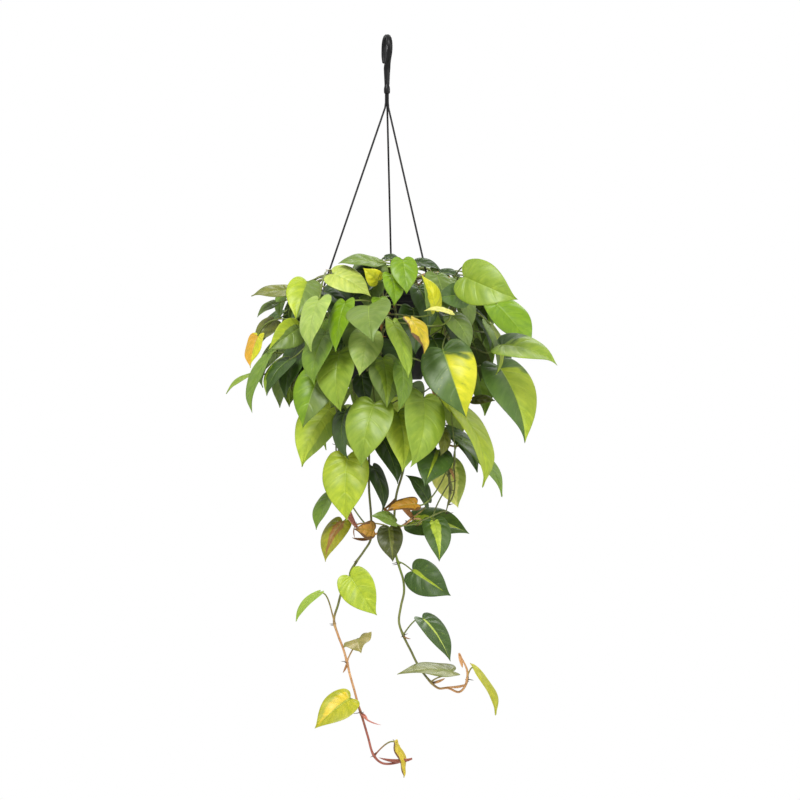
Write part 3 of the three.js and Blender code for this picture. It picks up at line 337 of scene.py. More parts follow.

# Stems routed along listed bends from the rim down: azimuth from the first lug, root radius, and the pixel
# column, pixel row and depth of each bend
ROUTED_STEMS = {
    "left": (60, 40, [
        (368, 345, -93), (367, 385, -92), (368, 420, -80), (369, 455, -66), (369, 488, -60),
        (371, 515, -56), (371, 538, -54), (364, 551, -54), (355, 564, -54), (350, 578, -53),
        (342, 591, -52), (338, 605, -52), (334, 620, -53), (338, 635, -54), (343, 648, -54),
        (347, 662, -54), (350, 675, -55), (354, 689, -56), (358, 704, -57), (363, 720, -58),
        (368, 737, -59), (373, 754, -60), (382, 763, -61), (396, 763, -62), (412, 758, -63)]),
    "right": (80, 52, [
        (398, 345, -93), (404, 385, -92), (406, 428, -80), (404, 466, -62), (396, 497, -56),
        (394, 530, -54), (395, 550, -54), (399, 566, -54), (403, 579, -54), (404, 592, -55),
        (401, 606, -56), (399, 622, -56), (404, 637, -56), (411, 651, -56), (418, 665, -56),
        (428, 679, -55), (438, 688, -54), (448, 688, -54), (459, 692, -55), (466, 684, -56),
        (467, 670, -57), (459, 653, -58)]),
    "crossing": (40, 54, [
        (345, 345, -84), (341, 400, -84), (339, 450, -76), (342, 490, -70), (348, 516, -68),
        (358, 528, -69), (368, 534, -70), (381, 533, -71), (396, 529, -71), (413, 519, -70)]),
    "middle": (100, 44, [
        (431, 345, -80), (438, 400, -82), (446, 440, -72), (448, 466, -64), (450, 492, -58),
        (446, 512, -54)]),
}

# Stems placed by a rule: steps in azimuth from each lug, how far out they bow, root radii, the line
# that hangs outside the pot, and how far a stem is turned, sways, and rises or ends higher or lower
NEAR_STEPS = [20, 40, 60, 80, 100]
NEAR_BOW = 89
NEAR_ROOTS = [56, 40]
NEAR_LINE = [(4, -340), (2, -378), (-7, -415), (-20, -450)]
NEAR_TURN = 3
NEAR_SWAY = 6
NEAR_RISE = (-4, 8)
NEAR_END = 20
FAR_STEPS = [30, 70]
FAR_BOW = 103
FAR_ROOTS = [26, 30]
FAR_LINE = [(8, -338), (7, -378), (1, -420)]
FAR_TURN = 2
FAR_SWAY = 3
FAR_RISE = (8, 14)

# Leaves placed by a rule, in rows: z, count, radius, and the azimuths from and to
BACK_ROWS = [
    (-482, 3, 60, 130, 230),
    (-450, 5, 78, 100, 260),
    (-420, 8, 92, 70, 290),
    (-388, 9, 104, 60, 300),
    (-358, 10, 106, 58, 302),
    (-330, 9, 102, 64, 296),
    (-306, 7, 84, 70, 290),
]
TOP_ROWS = [(-300, 9, 62, 30, 330), (-297, 6, 26, 0, 360)]
INNER_ROWS = [(-392, 7, 94, -120, 120), (-362, 8, 98, -125, 125), (-332, 8, 98, -125, 125),
              (-310, 6, 90, -120, 120)]

# What is drawn for the leaves of a row, in this order: how far each strays from the row's radius and
# height, its length, how far its tip drops below level, how far it swings aside and how far it turns
TOP_HABIT = dict(radius=(-14, 14), z=(-6, 6), length=(46, 66), drop=(8, 40),
                 swing=(-40, 40), turn=(-20, 20))
BACK_HABIT = dict(radius=(-10, 10), z=(-12, 12), length=(56, 84), drop=(50, 80),
                  swing=(-34, 34), turn=(-25, 25))
INNER_HABIT = dict(radius=(-6, 6), z=(-12, 12), length=(48, 68), drop=(60, 85),
                   swing=(-25, 25), turn=(-20, 20))

# Top outline that the photograph shows, as [column, row]: no leaf of a row stands above it
SKYLINE = [[225, 395], [250, 320], [262, 290], [300, 283], [327, 279], [340, 264], [365, 256], [430, 262],
           [455, 274], [492, 268], [517, 300], [535, 340], [560, 400]]

# Random numbers of the layout, the same on every run

random_state = 20261127


def random():
    global random_state
    random_state = random_state * 16807 % 2147483647
    return random_state / 2147483647


def between(low, high):
    return low + (high - low) * random()


# Vectors: arrays whose last axis is x, y, z


def dot(a, b):
    return a[..., 0] * b[..., 0] + a[..., 1] * b[..., 1] + a[..., 2] * b[..., 2]


def size(a):
    return np.sqrt(dot(a, a))


def unit(a):
    return a * (1 / size(a))[..., None]


def cross(a, b):
    return np.stack([
        a[..., 1] * b[..., 2] - a[..., 2] * b[..., 1],
        a[..., 2] * b[..., 0] - a[..., 0] * b[..., 2],
        a[..., 0] * b[..., 1] - a[..., 1] * b[..., 0],
    ], -1)


def mix(a, b, t):
    return a * (1 - t) + b * t


def outward(azimuth):
    """The way out from the pot's axis: 0 is towards the camera, 90 is +X."""
    return np.array([math.sin(azimuth * DEGREE), -math.cos(azimuth * DEGREE), 0])


def around(azimuth, radius, z):
    return np.array([POT_X, 0, z]) + outward(azimuth) * radius


def scale_at(y):
    return MM_PER_PIXEL * (CAMERA_DISTANCE + y) / CAMERA_DISTANCE


def seen(column, row, y):
    """The point at depth y that the photograph shows at a pixel."""
    scale = scale_at(y)
    x = CAMERA_X + (column - PHOTO_CENTRE) * scale
    return np.array([x, y, CAMERA_Z - (row - PHOTO_CENTRE) * scale])


def look_up(table, x):
    xs, ys = np.array(table, float).T
    if xs[0] > xs[-1]:
        xs, ys = xs[::-1], ys[::-1]
    return np.interp(x, xs, ys)


def nearest(line, point, weights=(1, 1, 1)):
    """Number of the point of a line that is nearest to another, with a weight for each axis."""
    return np.argmin(size((line - point) * np.array(weights)))


# Room: a grid of cells that leaves and stems have taken

leaf_cells = np.zeros(GRID_SHAPE, bool)
stem_cells = np.full(GRID_SHAPE, NOBODY, np.int16)
NEARBY = np.stack(np.meshgrid(*[np.arange(-2, 3)] * 3, indexing="ij"), -1).reshape(-1, 3)


def take_room(cells, points, room, owner):
    places = np.floor(points / CELL).astype(int)[:, None] + NEARBY
    near = size((places + 0.5) * CELL - points[:, None]) <= room
    i, j, k = (places - GRID_LOW)[near].T
    cells[i, j, k] = owner


def at(cells, points):
    places = np.floor(points / CELL).astype(int) - GRID_LOW
    return cells[places[..., 0], places[..., 1], places[..., 2]]


def in_pot(points):
    reach = np.hypot(points[..., 0] - POT_X, points[..., 1])
    z = points[..., 2]
    return (reach < POT_ROOM) & (z < RIM_Z + POT_ROOM_ABOVE) & (z > POT_BOTTOM - POT_ROOM_BELOW)


def is_free(points):
    return not (in_pot(points).any() or at(leaf_cells, points).any()
                or (at(stem_cells, points) != NOBODY).any())


def along(points, spacing):
    """Points along a line of straight pieces, no further apart than a spacing."""
    result = [points[:1]]
    for a, b in zip(points[:-1], points[1:]):
        count = math.ceil(size(b - a) / spacing)
        share = np.arange(1, count + 1)[:, None] / max(count, 1)
        result.append(mix(a, b, share))
    return np.concatenate(result)


def smooth(points, pieces):
    """Smooth line through points, with a number of straight pieces to each span."""
    points = np.array(points, float)
    last = len(points) - 1
    result = []
    for i in range(last):
        p0, p1, p2, p3 = points[max(i - 1, 0)], points[i], points[i + 1], points[min(i + 2, last)]
        for j in range(pieces):
            t = j / pieces
            result.append(0.5 * (2 * p1 + (p2 - p0) * t + (2 * p0 - 5 * p1 + 4 * p2 - p3) * t * t
                                 + (3 * p1 - p0 - 3 * p2 + p3) * t * t * t))
    result.append(points[last])
    return np.array(result)


# Stems: each stands in the soil, rises, goes over the rim and hangs down outside the pot

stems = []
RISE_POINTS = 5


def rise(azimuth, root, bow, top):
    """The first points of a stem: up out of the soil and over the rim."""
    return [
        around(azimuth, root, ROOT_BOTTOM),
        around(azimuth, root, SOIL_TOP + 3),
        around(azimuth, root + 8, top - 12),
        around(azimuth, 0.5 * (root + bow), top),
        around(azimuth, bow - 2, top - 5),
    ]


def add_stem(name, points, pieces):
    rising = smooth(points[1:], 2)[:2 * (RISE_POINTS - 2)]
    hanging = smooth(points[1:], pieces)[pieces * (RISE_POINTS - 2):]
    line = np.concatenate([points[:1], rising, hanging])
    take_room(stem_cells, along(line, CELL), STEM_RADIUS + TUBE_ROOM, len(stems))
    stems.append({"name": name, "points": points, "line": line, "leaves": []})


def grow_stems():
    for azimuth in STRAND_AZIMUTHS:
        ends = np.array([[0, 0, BUNDLE_END], around(azimuth, LUG_RADIUS, STRAND_BEND)])
        take_room(stem_cells, along(ends, CELL), STRAND_RADIUS + TUBE_ROOM, STRAND_OWNER)
    for name, (step, root, route) in ROUTED_STEMS.items():
        start = rise(STRAND_AZIMUTHS[0] + step, root, NEAR_BOW, STEM_TOP)
        hanging = [seen(*bend) for bend in route]
        add_stem(f"vine_{name}", [*start, *hanging], 1 if name in ("left", "right") else 2)
    routed = [step for step, _, _ in ROUTED_STEMS.values()]
    for lug, lug_azimuth in enumerate(STRAND_AZIMUTHS):
        for i, step in enumerate(NEAR_STEPS):
            if lug == 0 and step in routed:
                continue
            azimuth = lug_azimuth + step + between(-NEAR_TURN, NEAR_TURN)
            sway = between(-NEAR_SWAY, NEAR_SWAY)
            end = between(-NEAR_END, NEAR_END)
            start = rise(azimuth, NEAR_ROOTS[i % 2], NEAR_BOW, STEM_TOP + between(*NEAR_RISE))
            hanging = [around(azimuth + turn, NEAR_BOW + out, z + lower) for (out, z), turn, lower
                       in zip(NEAR_LINE, (sway, sway, 0, -sway), (0, 0, 0, end))]
            add_stem(f"vine_near_{lug + 1}_{i + 1}", [*start, *hanging], 1)
        for i, step in enumerate(FAR_STEPS):
            azimuth = lug_azimuth + step + between(-FAR_TURN, FAR_TURN)
            sway = between(-FAR_SWAY, FAR_SWAY)
            start = rise(azimuth, FAR_ROOTS[i], FAR_BOW, STEM_TOP + between(*FAR_RISE))
            hanging = [around(azimuth + turn, FAR_BOW + out, z) for (out, z), turn
                       in zip(FAR_LINE, (sway, sway, 0))]
            add_stem(f"vine_far_{lug + 1}_{i + 1}", [*start, *hanging], 1)


# Blades: their place and pose


def blade_height(leaf, u, v, folded):
    """Height over the chord: arched along, folded at the midrib, drooping at the edge, twisted."""
    return (leaf["arch"] * 4 * u * (1 - u) + leaf["fold"] * folded - leaf["droop"] * v * v
            + leaf["twist"] * v * (u - TWIST_MIDDLE))


def on_blade(leaf, u, v, height):
    point = leaf["base"] + u[..., None] * leaf["length"] * leaf["along"]
    point = point + v[..., None] * leaf["length"] * leaf["across"]
    return point + height[..., None] * leaf["length"] * leaf["face"]


def bent_blade(leaf, u, v):
    return on_blade(leaf, u, v, blade_height(leaf, u, v, np.abs(v)))


def spread(rows, columns):
    """Places spread over a blade, as u and v."""
    u = -LOBE_REACH + (1 + LOBE_REACH) * np.arange(rows + 1) / rows
    v = look_up(BLADE_HALF, u)[:, None] * (2 * np.arange(columns + 1) / columns - 1)
    return np.repeat(u, columns + 1), v.ravel()


TEST_PLACES = spread(24, 16)
FILL_PLACES = spread(36, 26)


def draw_shape():
    return {name: between(*span) for name, span in BENDS.items()}


def pose(base, length, along_blade, face):
    return {"base": base, "length": length, "along": along_blade, "face": face,
            "across": cross(face, along_blade)}


def photo_pose(base, tip, width, y):
    """Pose of a blade that the photograph shows, with its notch at depth y."""
    scale = scale_at(y)
    width = width * scale
    shown = math.hypot(tip[0] - base[0], tip[1] - base[1]) * scale
    whole = max(shown / math.cos(USUAL_LEAN * DEGREE), width / BLADE_WIDTH)
    reach = math.sqrt(whole * whole - shown * shown)
    start = seen(*base, y)
    chord = seen(*tip, y - reach) - start
    length = size(chord)
    along_blade = unit(chord)
    to_camera = np.array([0.0, -1, 0])
    facing = unit(to_camera - along_blade * dot(to_camera, along_blade))
    side = cross(facing, along_blade)
    middle = start + 0.5 * chord
    openness = CANOPY_OPENNESS + max(0, middle[2] - CANOPY_MIDDLE_Z)
    turn = math.acos(min(1, width / (BLADE_WIDTH * length)))
    way = 1 if side[0] * (middle[0] - POT_X) + side[2] * openness >= 0 else -1
    face = facing * math.cos(turn) + side * (way * math.sin(turn))
    return pose(start, length, along_blade, face)


def shell_pose(azimuth, radius, z, length, drop, swing, turn):
    """A blade on the canopy seen from outside: its notch on a circle, its tip down and out."""
    out = outward(azimuth + swing)
    up = np.array([0.0, 0, 1])
    along_blade = unit(out * math.cos(drop * DEGREE) - up * math.sin(drop * DEGREE))
    facing = unit(out * math.sin(drop * DEGREE) + up * math.cos(drop * DEGREE))
    side = cross(facing, along_blade)
    face = facing * math.cos(turn * DEGREE) + side * math.sin(turn * DEGREE)
    return pose(around(azimuth, radius, z), length, along_blade, face)


# Petioles: a smooth line from a stem to the notch of a blade


def bezier(start, leave, arrive, end, steps):
    t = steps[:, None]
    s = 1 - t
    start, leave, arrive, end = (x[..., None, :] for x in (start, leave, arrive, end))
    return (start * (s * s * s) + (start + leave) * (3 * s * s * t)
            + (end + arrive) * (3 * s * t * t) + end * (t * t * t))


def petioles_are_free(lines, owners):
    pieces = size(lines[..., 1:, :] - lines[..., :-1, :])
    before = np.cumsum(pieces, -1) - pieces
    total = pieces.sum(-1)[..., None, None]
    share = np.arange(PETIOLE_TESTS) / PETIOLE_TESTS
    points = mix(lines[..., :-1, None, :], lines[..., 1:, None, :], share[:, None])
    done = before[..., None] + pieces[..., None] * share
    owner = at(stem_cells, points)
    in_leaf = at(leaf_cells, points) & (total - done > NEAR_BLADE) & (done > NEAR_STEM)
    in_stem = (owner != NOBODY) & ((owner != owners[..., None, None]) | (done > NEAR_OWN_STEM))
    return ~(in_pot(points) | in_leaf | in_stem).any((-1, -2))


def gather_places():
    """Every place on the stems where a petiole could start, and whether it is still open."""
    lines = [along(stem["line"], PLACE_SPACING) for stem in stems]
    points = np.concatenate(lines)
    owners = np.repeat(np.arange(len(stems)), [len(line) for line in lines])
    over_soil = np.hypot(points[:, 0] - POT_X, points[:, 1]) < RIM_RADIUS
    is_open = ~(over_soil & (points[:, 2] < SOIL_TOP + BARE_STEM))
    return {"points": points, "owners": owners, "open": is_open}


def petiole_places(leaf):
    """Places along the stems that a leaf's petiole could grow from, the likeliest first."""
    wanted = min(MOST_WANTED, max(LEAST_WANTED, WANTED_SHARE * leaf["length"]))
    points = places["points"]
    distance = size(points - leaf["base"])
    above = np.maximum(0, points[:, 2] - leaf["base"][2] - FREE_HEIGHT)
    cost = np.abs(distance - wanted) + HEIGHT_COST * above
    fit = places["open"] & (distance >= SHORTEST_PETIOLE) & (distance <= LONGEST_PETIOLE)
    chosen = np.nonzero(fit)[0]
    chosen = chosen[np.argsort(cost[chosen], kind="stable")][:MOST_PLACES]
    return places["owners"][chosen], points[chosen], distance[chosen]


def find_petiole(leaf):
    owners, points, distances = petiole_places(leaf)
    arrivals = unit(-ARRIVALS[:, :1] * leaf["face"] - ARRIVALS[:, 1:2] * leaf["along"]
                    + ARRIVALS[:, 2:] * leaf["across"])
    first = 0
    count = FIRST_BATCH
    while first < len(points):
        some = slice(first, first + count)
        point = points[some]
        handle = (HANDLE_SHARE * distances[some])[:, None, None]
        out = unit(point - np.array([POT_X, 0, 0]) - point * np.array([0, 0, 1])) * OUTWARD_SHARE
        to_leaf = unit(leaf["base"] - point) * TOWARDS_SHARE
        leave = unit(out[:, None] + np.outer(LIFTS, [0, 0, 1]) + to_leaf[:, None]) * handle
        leave = np.repeat(leave[:, :, None], len(ARRIVALS), 2)
        arrive = np.broadcast_to(arrivals * handle, (len(point), len(ARRIVALS), 3))
        arrive = np.repeat(arrive[:, None], len(LIFTS), 1)
        start = np.broadcast_to(point[:, None, None], leave.shape)
        lines = bezier(start, leave, arrive, np.broadcast_to(leaf["base"], leave.shape), PETIOLE_STEPS)
        owner = np.broadcast_to(owners[some][:, None, None], lines.shape[:3])
        free = petioles_are_free(lines, owner)
        if free.any():
            i, j, k = np.unravel_index(np.argmax(free), free.shape)
            return {"owner": int(owner[i, j, k]), "point": point[i], "leave": leave[i, j, k],
                    "arrive": arrive[i, j, k], "line": lines[i, j, k]}
        first += count
        count = min(BATCH_GROWTH * count, LARGEST_BATCH)
    return None


def keep_leaf(leaf, petiole):
    leaf["petiole"] = petiole
    stems[petiole["owner"]]["leaves"].append(leaf)
    close = size(places["points"] - petiole["point"]) < NODE_SPACING
    places["open"] &= ~(close & (places["owners"] == petiole["owner"]))
    take_room(leaf_cells, bent_blade(leaf, *FILL_PLACES), BLADE_ROOM, True)
    take_room(leaf_cells, along(petiole["line"], CELL), PETIOLE_RADIUS + TUBE_ROOM, True)


def grow_leaf(leaf):
    """Keeps a leaf if there is room for its blade and for a petiole."""
    if not is_free(bent_blade(leaf, *TEST_PLACES)):
        return False
    petiole = find_petiole(leaf)
    if petiole:
        keep_leaf(leaf, petiole)
    return petiole is not None


def grow_photo_leaves():
    for base, tip, width, look, *ahead in PHOTO_LEAVES:
        shape = draw_shape()
        middle = seen((base[0] + tip[0]) / 2, (base[1] + tip[1]) / 2, CANOPY_DEPTH)
        reach = look_up(CANOPY, middle[2]) * CANOPY_START
        aside = middle[0] - POT_X
        start = -math.sqrt(max(reach * reach - aside * aside, 0)) - sum(ahead)
        for push in range(MOST_PUSHES + 1):
            posed = photo_pose(base, tip, width, start - push * BLADE_PUSH)
            if grow_leaf({**posed, **shape, "look": look}):
                break


def is_below_skyline(points):
    scale = scale_at(points[..., 1])
    column = PHOTO_CENTRE + (points[..., 0] - CAMERA_X) / scale
    row = PHOTO_CENTRE - (points[..., 2] - CAMERA_Z) / scale
    return (row >= look_up(SKYLINE, column)).all()


def grow_shell_leaf(z, count, radius, low, high, i, habit):
    """Draws poses until one has room, moving each outward a little at a time."""
    for _ in range(TRIES):
        stray = between(-AZIMUTH_SPREAD, AZIMUTH_SPREAD)
        azimuth = low + (high - low) * (i + 0.5 + stray) / count
        drawn = {name: between(*span) for name, span in habit.items()}
        start = radius + drawn.pop("radius")
        height = z + drawn.pop("z")
        shape = draw_shape()
        for push in range(SHELL_PUSHES):
            posed = shell_pose(azimuth, start + SHELL_PUSH * push, height, **drawn)
            leaf = {**posed, **shape, "look": None, "inner": habit is INNER_HABIT}
            if is_below_skyline(bent_blade(leaf, *TEST_PLACES)) and grow_leaf(leaf):
                return


def grow_rows(rows, habit):
    for z, count, radius, low, high in rows:
        for i in range(count):
            grow_shell_leaf(z, count, radius, low, high, i, habit)


def grow_hanging_leaves():
    names = [stem["name"] for stem in stems]
    for stem, base, tip, width, depth, origin, look in HANGING_LEAVES:
        leaf = {**photo_pose(base, tip, width, depth), **draw_shape(), "look": look}
        owner = names.index(f"vine_{stem}")
        line = along(stems[owner]["line"], HANGING_SPACING)
        point = line[nearest(line, seen(*origin, depth))]
        reach = leaf["base"] - point
        leave = reach * HANGING_HANDLE + np.array([0, 0, HANGING_LIFT * size(reach)])
        behind = unit(-leaf["along"] * HANGING_UP - leaf["face"] * HANGING_BACK)
        arrive = behind * (HANGING_HANDLE * size(reach))
        keep_leaf(leaf, {"owner": owner, "point": point, "leave": leave, "arrive": arrive,
                         "line": bezier(point, leave, arrive, leaf["base"], PETIOLE_STEPS)})


grow_stems()
places = gather_places()
grow_hanging_leaves()
grow_rows(INNER_ROWS, INNER_HABIT)
grow_photo_leaves()
grow_rows(TOP_ROWS, TOP_HABIT)
grow_rows(BACK_ROWS, BACK_HABIT)

# Meshes: triangles of one piece gathered from its parts, with what their materials read

# Fields at each point: single numbers, then colours and other sets of three
FIELDS = {**dict.fromkeys(("along", "across", "under"), ()),
          **dict.fromkeys(("main", "second", "patch", "reach"), (3,))}
# Radius at which a profile stops short of the axis, and two angles: of an edge that stays sharp, in
# degrees, and of a line that counts as upright, as the Z part of its direction
NEAR_AXIS = 0.01
SHARP_ANGLE = 50
UPRIGHT = 0.9


def linear(name):
    """A named colour as linear light."""
    c = np.array(COLOURS[name]) / 255
    return np.where(c <= 0.04045, c / 12.92, ((c + 0.055) / 1.055) ** 2.4)


def add_object(name, data):
    made = bpy.data.objects.new(name, data)
    bpy.context.scene.collection.objects.link(made)
    return made


def final_mesh(piece):
    """The mesh that an object's filled curve or its modifiers give."""
    bpy.context.view_layer.update()
    depsgraph = bpy.context.evaluated_depsgraph_get()
    return bpy.data.meshes.new_from_object(piece.evaluated_get(depsgraph))


class Gathered:
    """Points and triangles of the parts of one piece."""

    def __init__(self):
        self.points = []
        self.triangles = []
        self.materials = []
        self.fields = {name: [] for name in FIELDS}
        self.count = 0

    def add(self, points, triangles, material=0, **values):
        self.points.append(points)
        self.triangles.append(triangles + self.count)
        self.materials.append(np.full(len(triangles), material))
        for name, shape in FIELDS.items():
            value = np.asarray(values.get(name, 0.0), float)
            self.fields[name].append(np.broadcast_to(value, (len(points), *shape)))
        self.count += len(points)

    def build(self, name, materials, nodes, fields=False):
        """One mesh object, which rides on the only body and stands for its nodes."""
        points = np.concatenate(self.points) * MM
        triangles = np.concatenate(self.triangles)
        mesh = bpy.data.meshes.new(name)
        mesh.vertices.add(len(points))
        mesh.vertices.foreach_set("co", points.astype(np.float32).ravel())
        mesh.loops.add(triangles.size)
        mesh.loops.foreach_set("vertex_index", triangles.astype(np.int32).ravel())
        mesh.polygons.add(len(triangles))
        mesh.polygons.foreach_set("loop_start", np.arange(0, triangles.size, 3, dtype=np.int32))
        mesh.polygons.foreach_set("material_index", np.concatenate(self.materials).astype(np.int32))
        mesh.update(calc_edges=True)
        for field, shape in FIELDS.items() if fields else ():
            attribute = mesh.attributes.new(field, "FLOAT_VECTOR" if shape else "FLOAT", "POINT")
            values = np.concatenate(self.fields[field]).astype(np.float32)
            attribute.data.foreach_set("vector" if shape else "value", values.ravel())
        mesh.shade_smooth()
        for material in materials:
            mesh.materials.append(material)
        piece = add_object(name, mesh)
        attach(piece, "root")
        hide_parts(*nodes)
        return piece


def quads(a, b, c, d):
    """Two triangles for each four corners, given as arrays of vertex numbers."""
    return [np.stack([np.ravel(x) for x in three], 1) for three in ((a, b, c), (a, c, d))]


def fan(centre, a, b):
    return np.stack([np.full(len(a), centre), a, b], 1)


def ring_faces(count, sides):
    """Triangles between closed rings of vertices that follow each other."""
    ring = np.arange(count * sides).reshape(count, sides)
    ahead = np.roll(ring, -1, 1)
    return np.concatenate(quads(ring[:-1], ahead[:-1], ahead[1:], ring[1:]))


def circle(sides):
    """Cosines and sines of the corners of a regular polygon."""
    angles = 2 * math.pi * np.arange(sides) / sides
    return np.cos(angles), np.sin(angles)


def run_along(line):
    """The length along a line to each of its points."""
    return np.concatenate([[0], np.cumsum(size(np.diff(line, axis=0)))])


def tube(points, radii, sides, guide=None):
    """Closed tube through points, with a radius at each, and the length along it at each vertex."""
    points = np.asarray(points, float)
    radii = np.broadcast_to(np.asarray(radii, float), (len(points),))
    tangents = unit(np.gradient(points, axis=0))
    if guide is None:
        guide = [0, 0, 1] if abs(tangents[0][2]) < UPRIGHT else [1, 0, 0]
    normal = np.array(guide, float)
    cosines, sines = circle(sides)
    rings = []
    for point, tangent, radius in zip(points, tangents, radii):
        normal = unit(normal - tangent * dot(normal, tangent))
        side = cross(tangent, normal)
        rings.append(point + radius * (np.outer(cosines, normal) + np.outer(sines, side)))
    a = np.arange(sides)
    b = (a + 1) % sides
    last = (len(points) - 1) * sides
    centre = last + sides
    triangles = [ring_faces(len(points), sides), fan(centre, b, a), fan(centre + 1, last + a, last + b)]
    run = run_along(points)
    lengths = np.concatenate([np.repeat(run, sides), run[:1], run[-1:]])
    return np.concatenate([*rings, points[:1], points[-1:]]), np.concatenate(triangles), lengths


def revolve(profile, segments, centre=(0, 0)):
    """Solid of revolution about an upright axis, from a profile of [radius, z] off the axis."""
    profile = np.array(profile, float)
    ring = np.stack(circle(segments), 1)
    xy = (profile[:, None, :1] * ring[None]).reshape(-1, 2) + np.array(centre)
    vertices = np.concatenate([xy, np.repeat(profile[:, 1], segments)[:, None]], 1)
    return vertices, ring_faces(len(profile), segments)[:, ::-1]


def turned(points, angle):
    """Points turned about the Z axis by an angle in radians."""
    x, y, z = points[..., 0], points[..., 1], points[..., 2]
    return np.stack([x * math.cos(angle) - y * math.sin(angle),
                     x * math.sin(angle) + y * math.cos(angle), z], -1)


# Fine blades

# Half outline of a blade from the notch round its lobe to the tip, as [along, across] in blade
# lengths, with the place on the midrib where the side vein that ends there starts
EDGE = [[0, 0, 0], [-0.07, 0.06, 0.002], [-0.11, 0.155, 0.005], [-0.07, 0.26, 0.01], [0.05, 0.335, 0.02],
        [0.2, 0.37, 0.05], [0.38, 0.362, 0.14], [0.55, 0.305, 0.29], [0.7, 0.22, 0.47],
        [0.83, 0.118, 0.67], [0.93, 0.038, 0.85], [1, 0, 1]]
ROW_PIECES = 4
COLUMNS = np.array([0.03, 0.08, 0.16, 0.26, 0.37, 0.49, 0.62, 0.75, 0.88, 0.975, 1])
VEIN_BOW = 0.22
SIDE_VEINS = 6.5

# Relief: thickness and depths in mm, widths and places in blade lengths
FINE_THICKNESS = 0.5
RIDGE_WIDTH = 0.013
RIDGE_DEPTH = 0.55
GROOVE_DEPTH = 0.28
QUILTING = 0.5
QUILTING_REACH = 1.15
SOFT_FOLD = 0.012
TAIL_START = 0.78
EDGE_WAVE_POWER = 2.5

# How blades are waved and curled, in blade lengths, with the number of waves and where they start
BLADE_HABIT = {"wave": (0.004, 0.016), "waves": (1.6, 3.2), "phase": (0, 6.28), "curl": (-0.01, 0.035),
               "aside": (-0.03, 0.03), "swell": (0.006, 0.018)}
OLD_LOOKS = ("gold", "old", "bronze", "dry")
OLD_WAVE = 0.035


def blade_grid():
    """Triangles of a closed blade and, for each vertex, its u, v, row share, place across and side."""
    rows = smooth(EDGE, ROW_PIECES)[1:-1]
    share = np.arange(1, len(rows) + 1) / (len(rows) + 1)
    across = np.concatenate([-COLUMNS[::-1], [0], COLUMNS])
    t = np.abs(across)
    edge_u, edge_v, start = (rows[:, k:k + 1] for k in range(3))
    bow = VEIN_BOW * np.maximum(edge_u, 0) * edge_v * 4 * t * (1 - t)
    u = start + (edge_u - start) * t - bow
    v = edge_v * t * np.sign(across)
    top = np.arange(u.size).reshape(u.shape)
    notch, tip = top.size, top.size + 1
    first_under = tip + 1
    under = top.copy()
    under[:, 1:-1] = first_under + np.arange(under[:, 1:-1].size).reshape(len(rows), -1)
    triangles = []
    for layer, order in ((top, 1), (under, -1)):
        low, high = layer[:-1], layer[1:]
        faces = [*quads(low[:, :-1], high[:, :-1], high[:, 1:], low[:, 1:]),
                 fan(notch, layer[0, :-1], layer[0, 1:]), fan(tip, layer[-1, 1:], layer[-1, :-1])]
        triangles.append(np.concatenate(faces)[:, ::order])

    def spread_out(values, at_notch, at_tip):
        values = np.broadcast_to(values, top.shape)
        return np.concatenate([values.ravel(), [at_notch, at_tip], values[:, 1:-1].ravel()])

    thick = spread_out(np.where(t >= 1, 0.0, 1.0), 0, 0)
    thick[first_under:] *= -1
    return {"triangles": np.concatenate(triangles), "u": spread_out(u, 0, 1), "v": spread_out(v, 0, 0),
            "share": spread_out(share[:, None], 0, 1), "across": spread_out(across, 0, 0),
            "thick": thick}


BLADE = blade_grid()


def fine_blade(leaf, habit):
    """Points of one blade: the solid's own bends, with a soft midrib, quilting and a waved edge."""
    u, v, share, across, thick = (BLADE[k] for k in ("u", "v", "share", "across", "thick"))
    height = blade_height(leaf, u, v, np.sqrt(v * v + SOFT_FOLD * SOFT_FOLD) - SOFT_FOLD)
    t = np.abs(across)
    ends = np.sin(math.pi * share)
    turns = 2 * math.pi * share
    wave = habit["wave"] * t ** EDGE_WAVE_POWER * ends ** 0.5
    height = height + wave * np.sin(habit["waves"] * turns + habit["phase"] * np.sign(v))
    height = height + habit["swell"] * np.sin(math.pi * across) * np.sin(turns + habit["phase"])
    tail = np.clip((u - TAIL_START) / (1 - TAIL_START), 0, 1) ** 2
    height = height - habit["curl"] * tail
    mm = 1 / leaf["length"]
    between_ribs = np.sin(math.pi * np.clip(t * QUILTING_REACH, 0, 1))
    height = height - QUILTING * mm * np.cos(SIDE_VEINS * turns) * between_ribs * ends
    rib = np.exp(-(v / RIDGE_WIDTH) ** 2) * np.sqrt(np.clip(1 - u, 0, 1))
    relief = np.where(thick > 0, -GROOVE_DEPTH, RIDGE_DEPTH) * rib
    height = height + mm * thick * (0.5 * FINE_THICKNESS + relief)
    return on_blade(leaf, u, v + habit["aside"] * tail, height)


# Materials of a leafy piece, in the order of its slots
BLADE_SLOT = 0
STEM_SLOT = 1
SHEATH_SLOT = 2

# Chances of each look for the leaves that the photograph hides, and how their colours vary
HIDDEN_LOOKS = [("green", 9), ("light", 6), ("dark", 7), ("sheen", 5), ("bright", 4), ("lime", 3),
                ("lime_centre", 3), ("lime_streak", 3), ("lime_left", 2), ("dark_right", 2),
                ("light_centre", 2), ("yellow_centre", 1), ("yellow_right", 1), ("olive", 1)]
# Leaves inside the canopy draw from darker looks: painted shade for the inside of the pile
INNER_SHADE_LOOKS = [("deep", 5), ("dark", 5), ("sheen", 2), ("green", 1)]
TINTS = (0.9, 1.12)
NOISE_SEEDS = (0, 50)
FIRST_SEED = 700

# Fine stems: how they taper to the tip and swell at nodes, in mm and shares of the radius
STEM_PIECES = 9
FINE_STEM_RADIUS = 1.5
STEM_TIP_SHARE = 0.35
STEM_TAPER = 40
NODE_SWELLING = 0.3
NODE_LENGTH = 4
STEM_RING_SIDES = 14

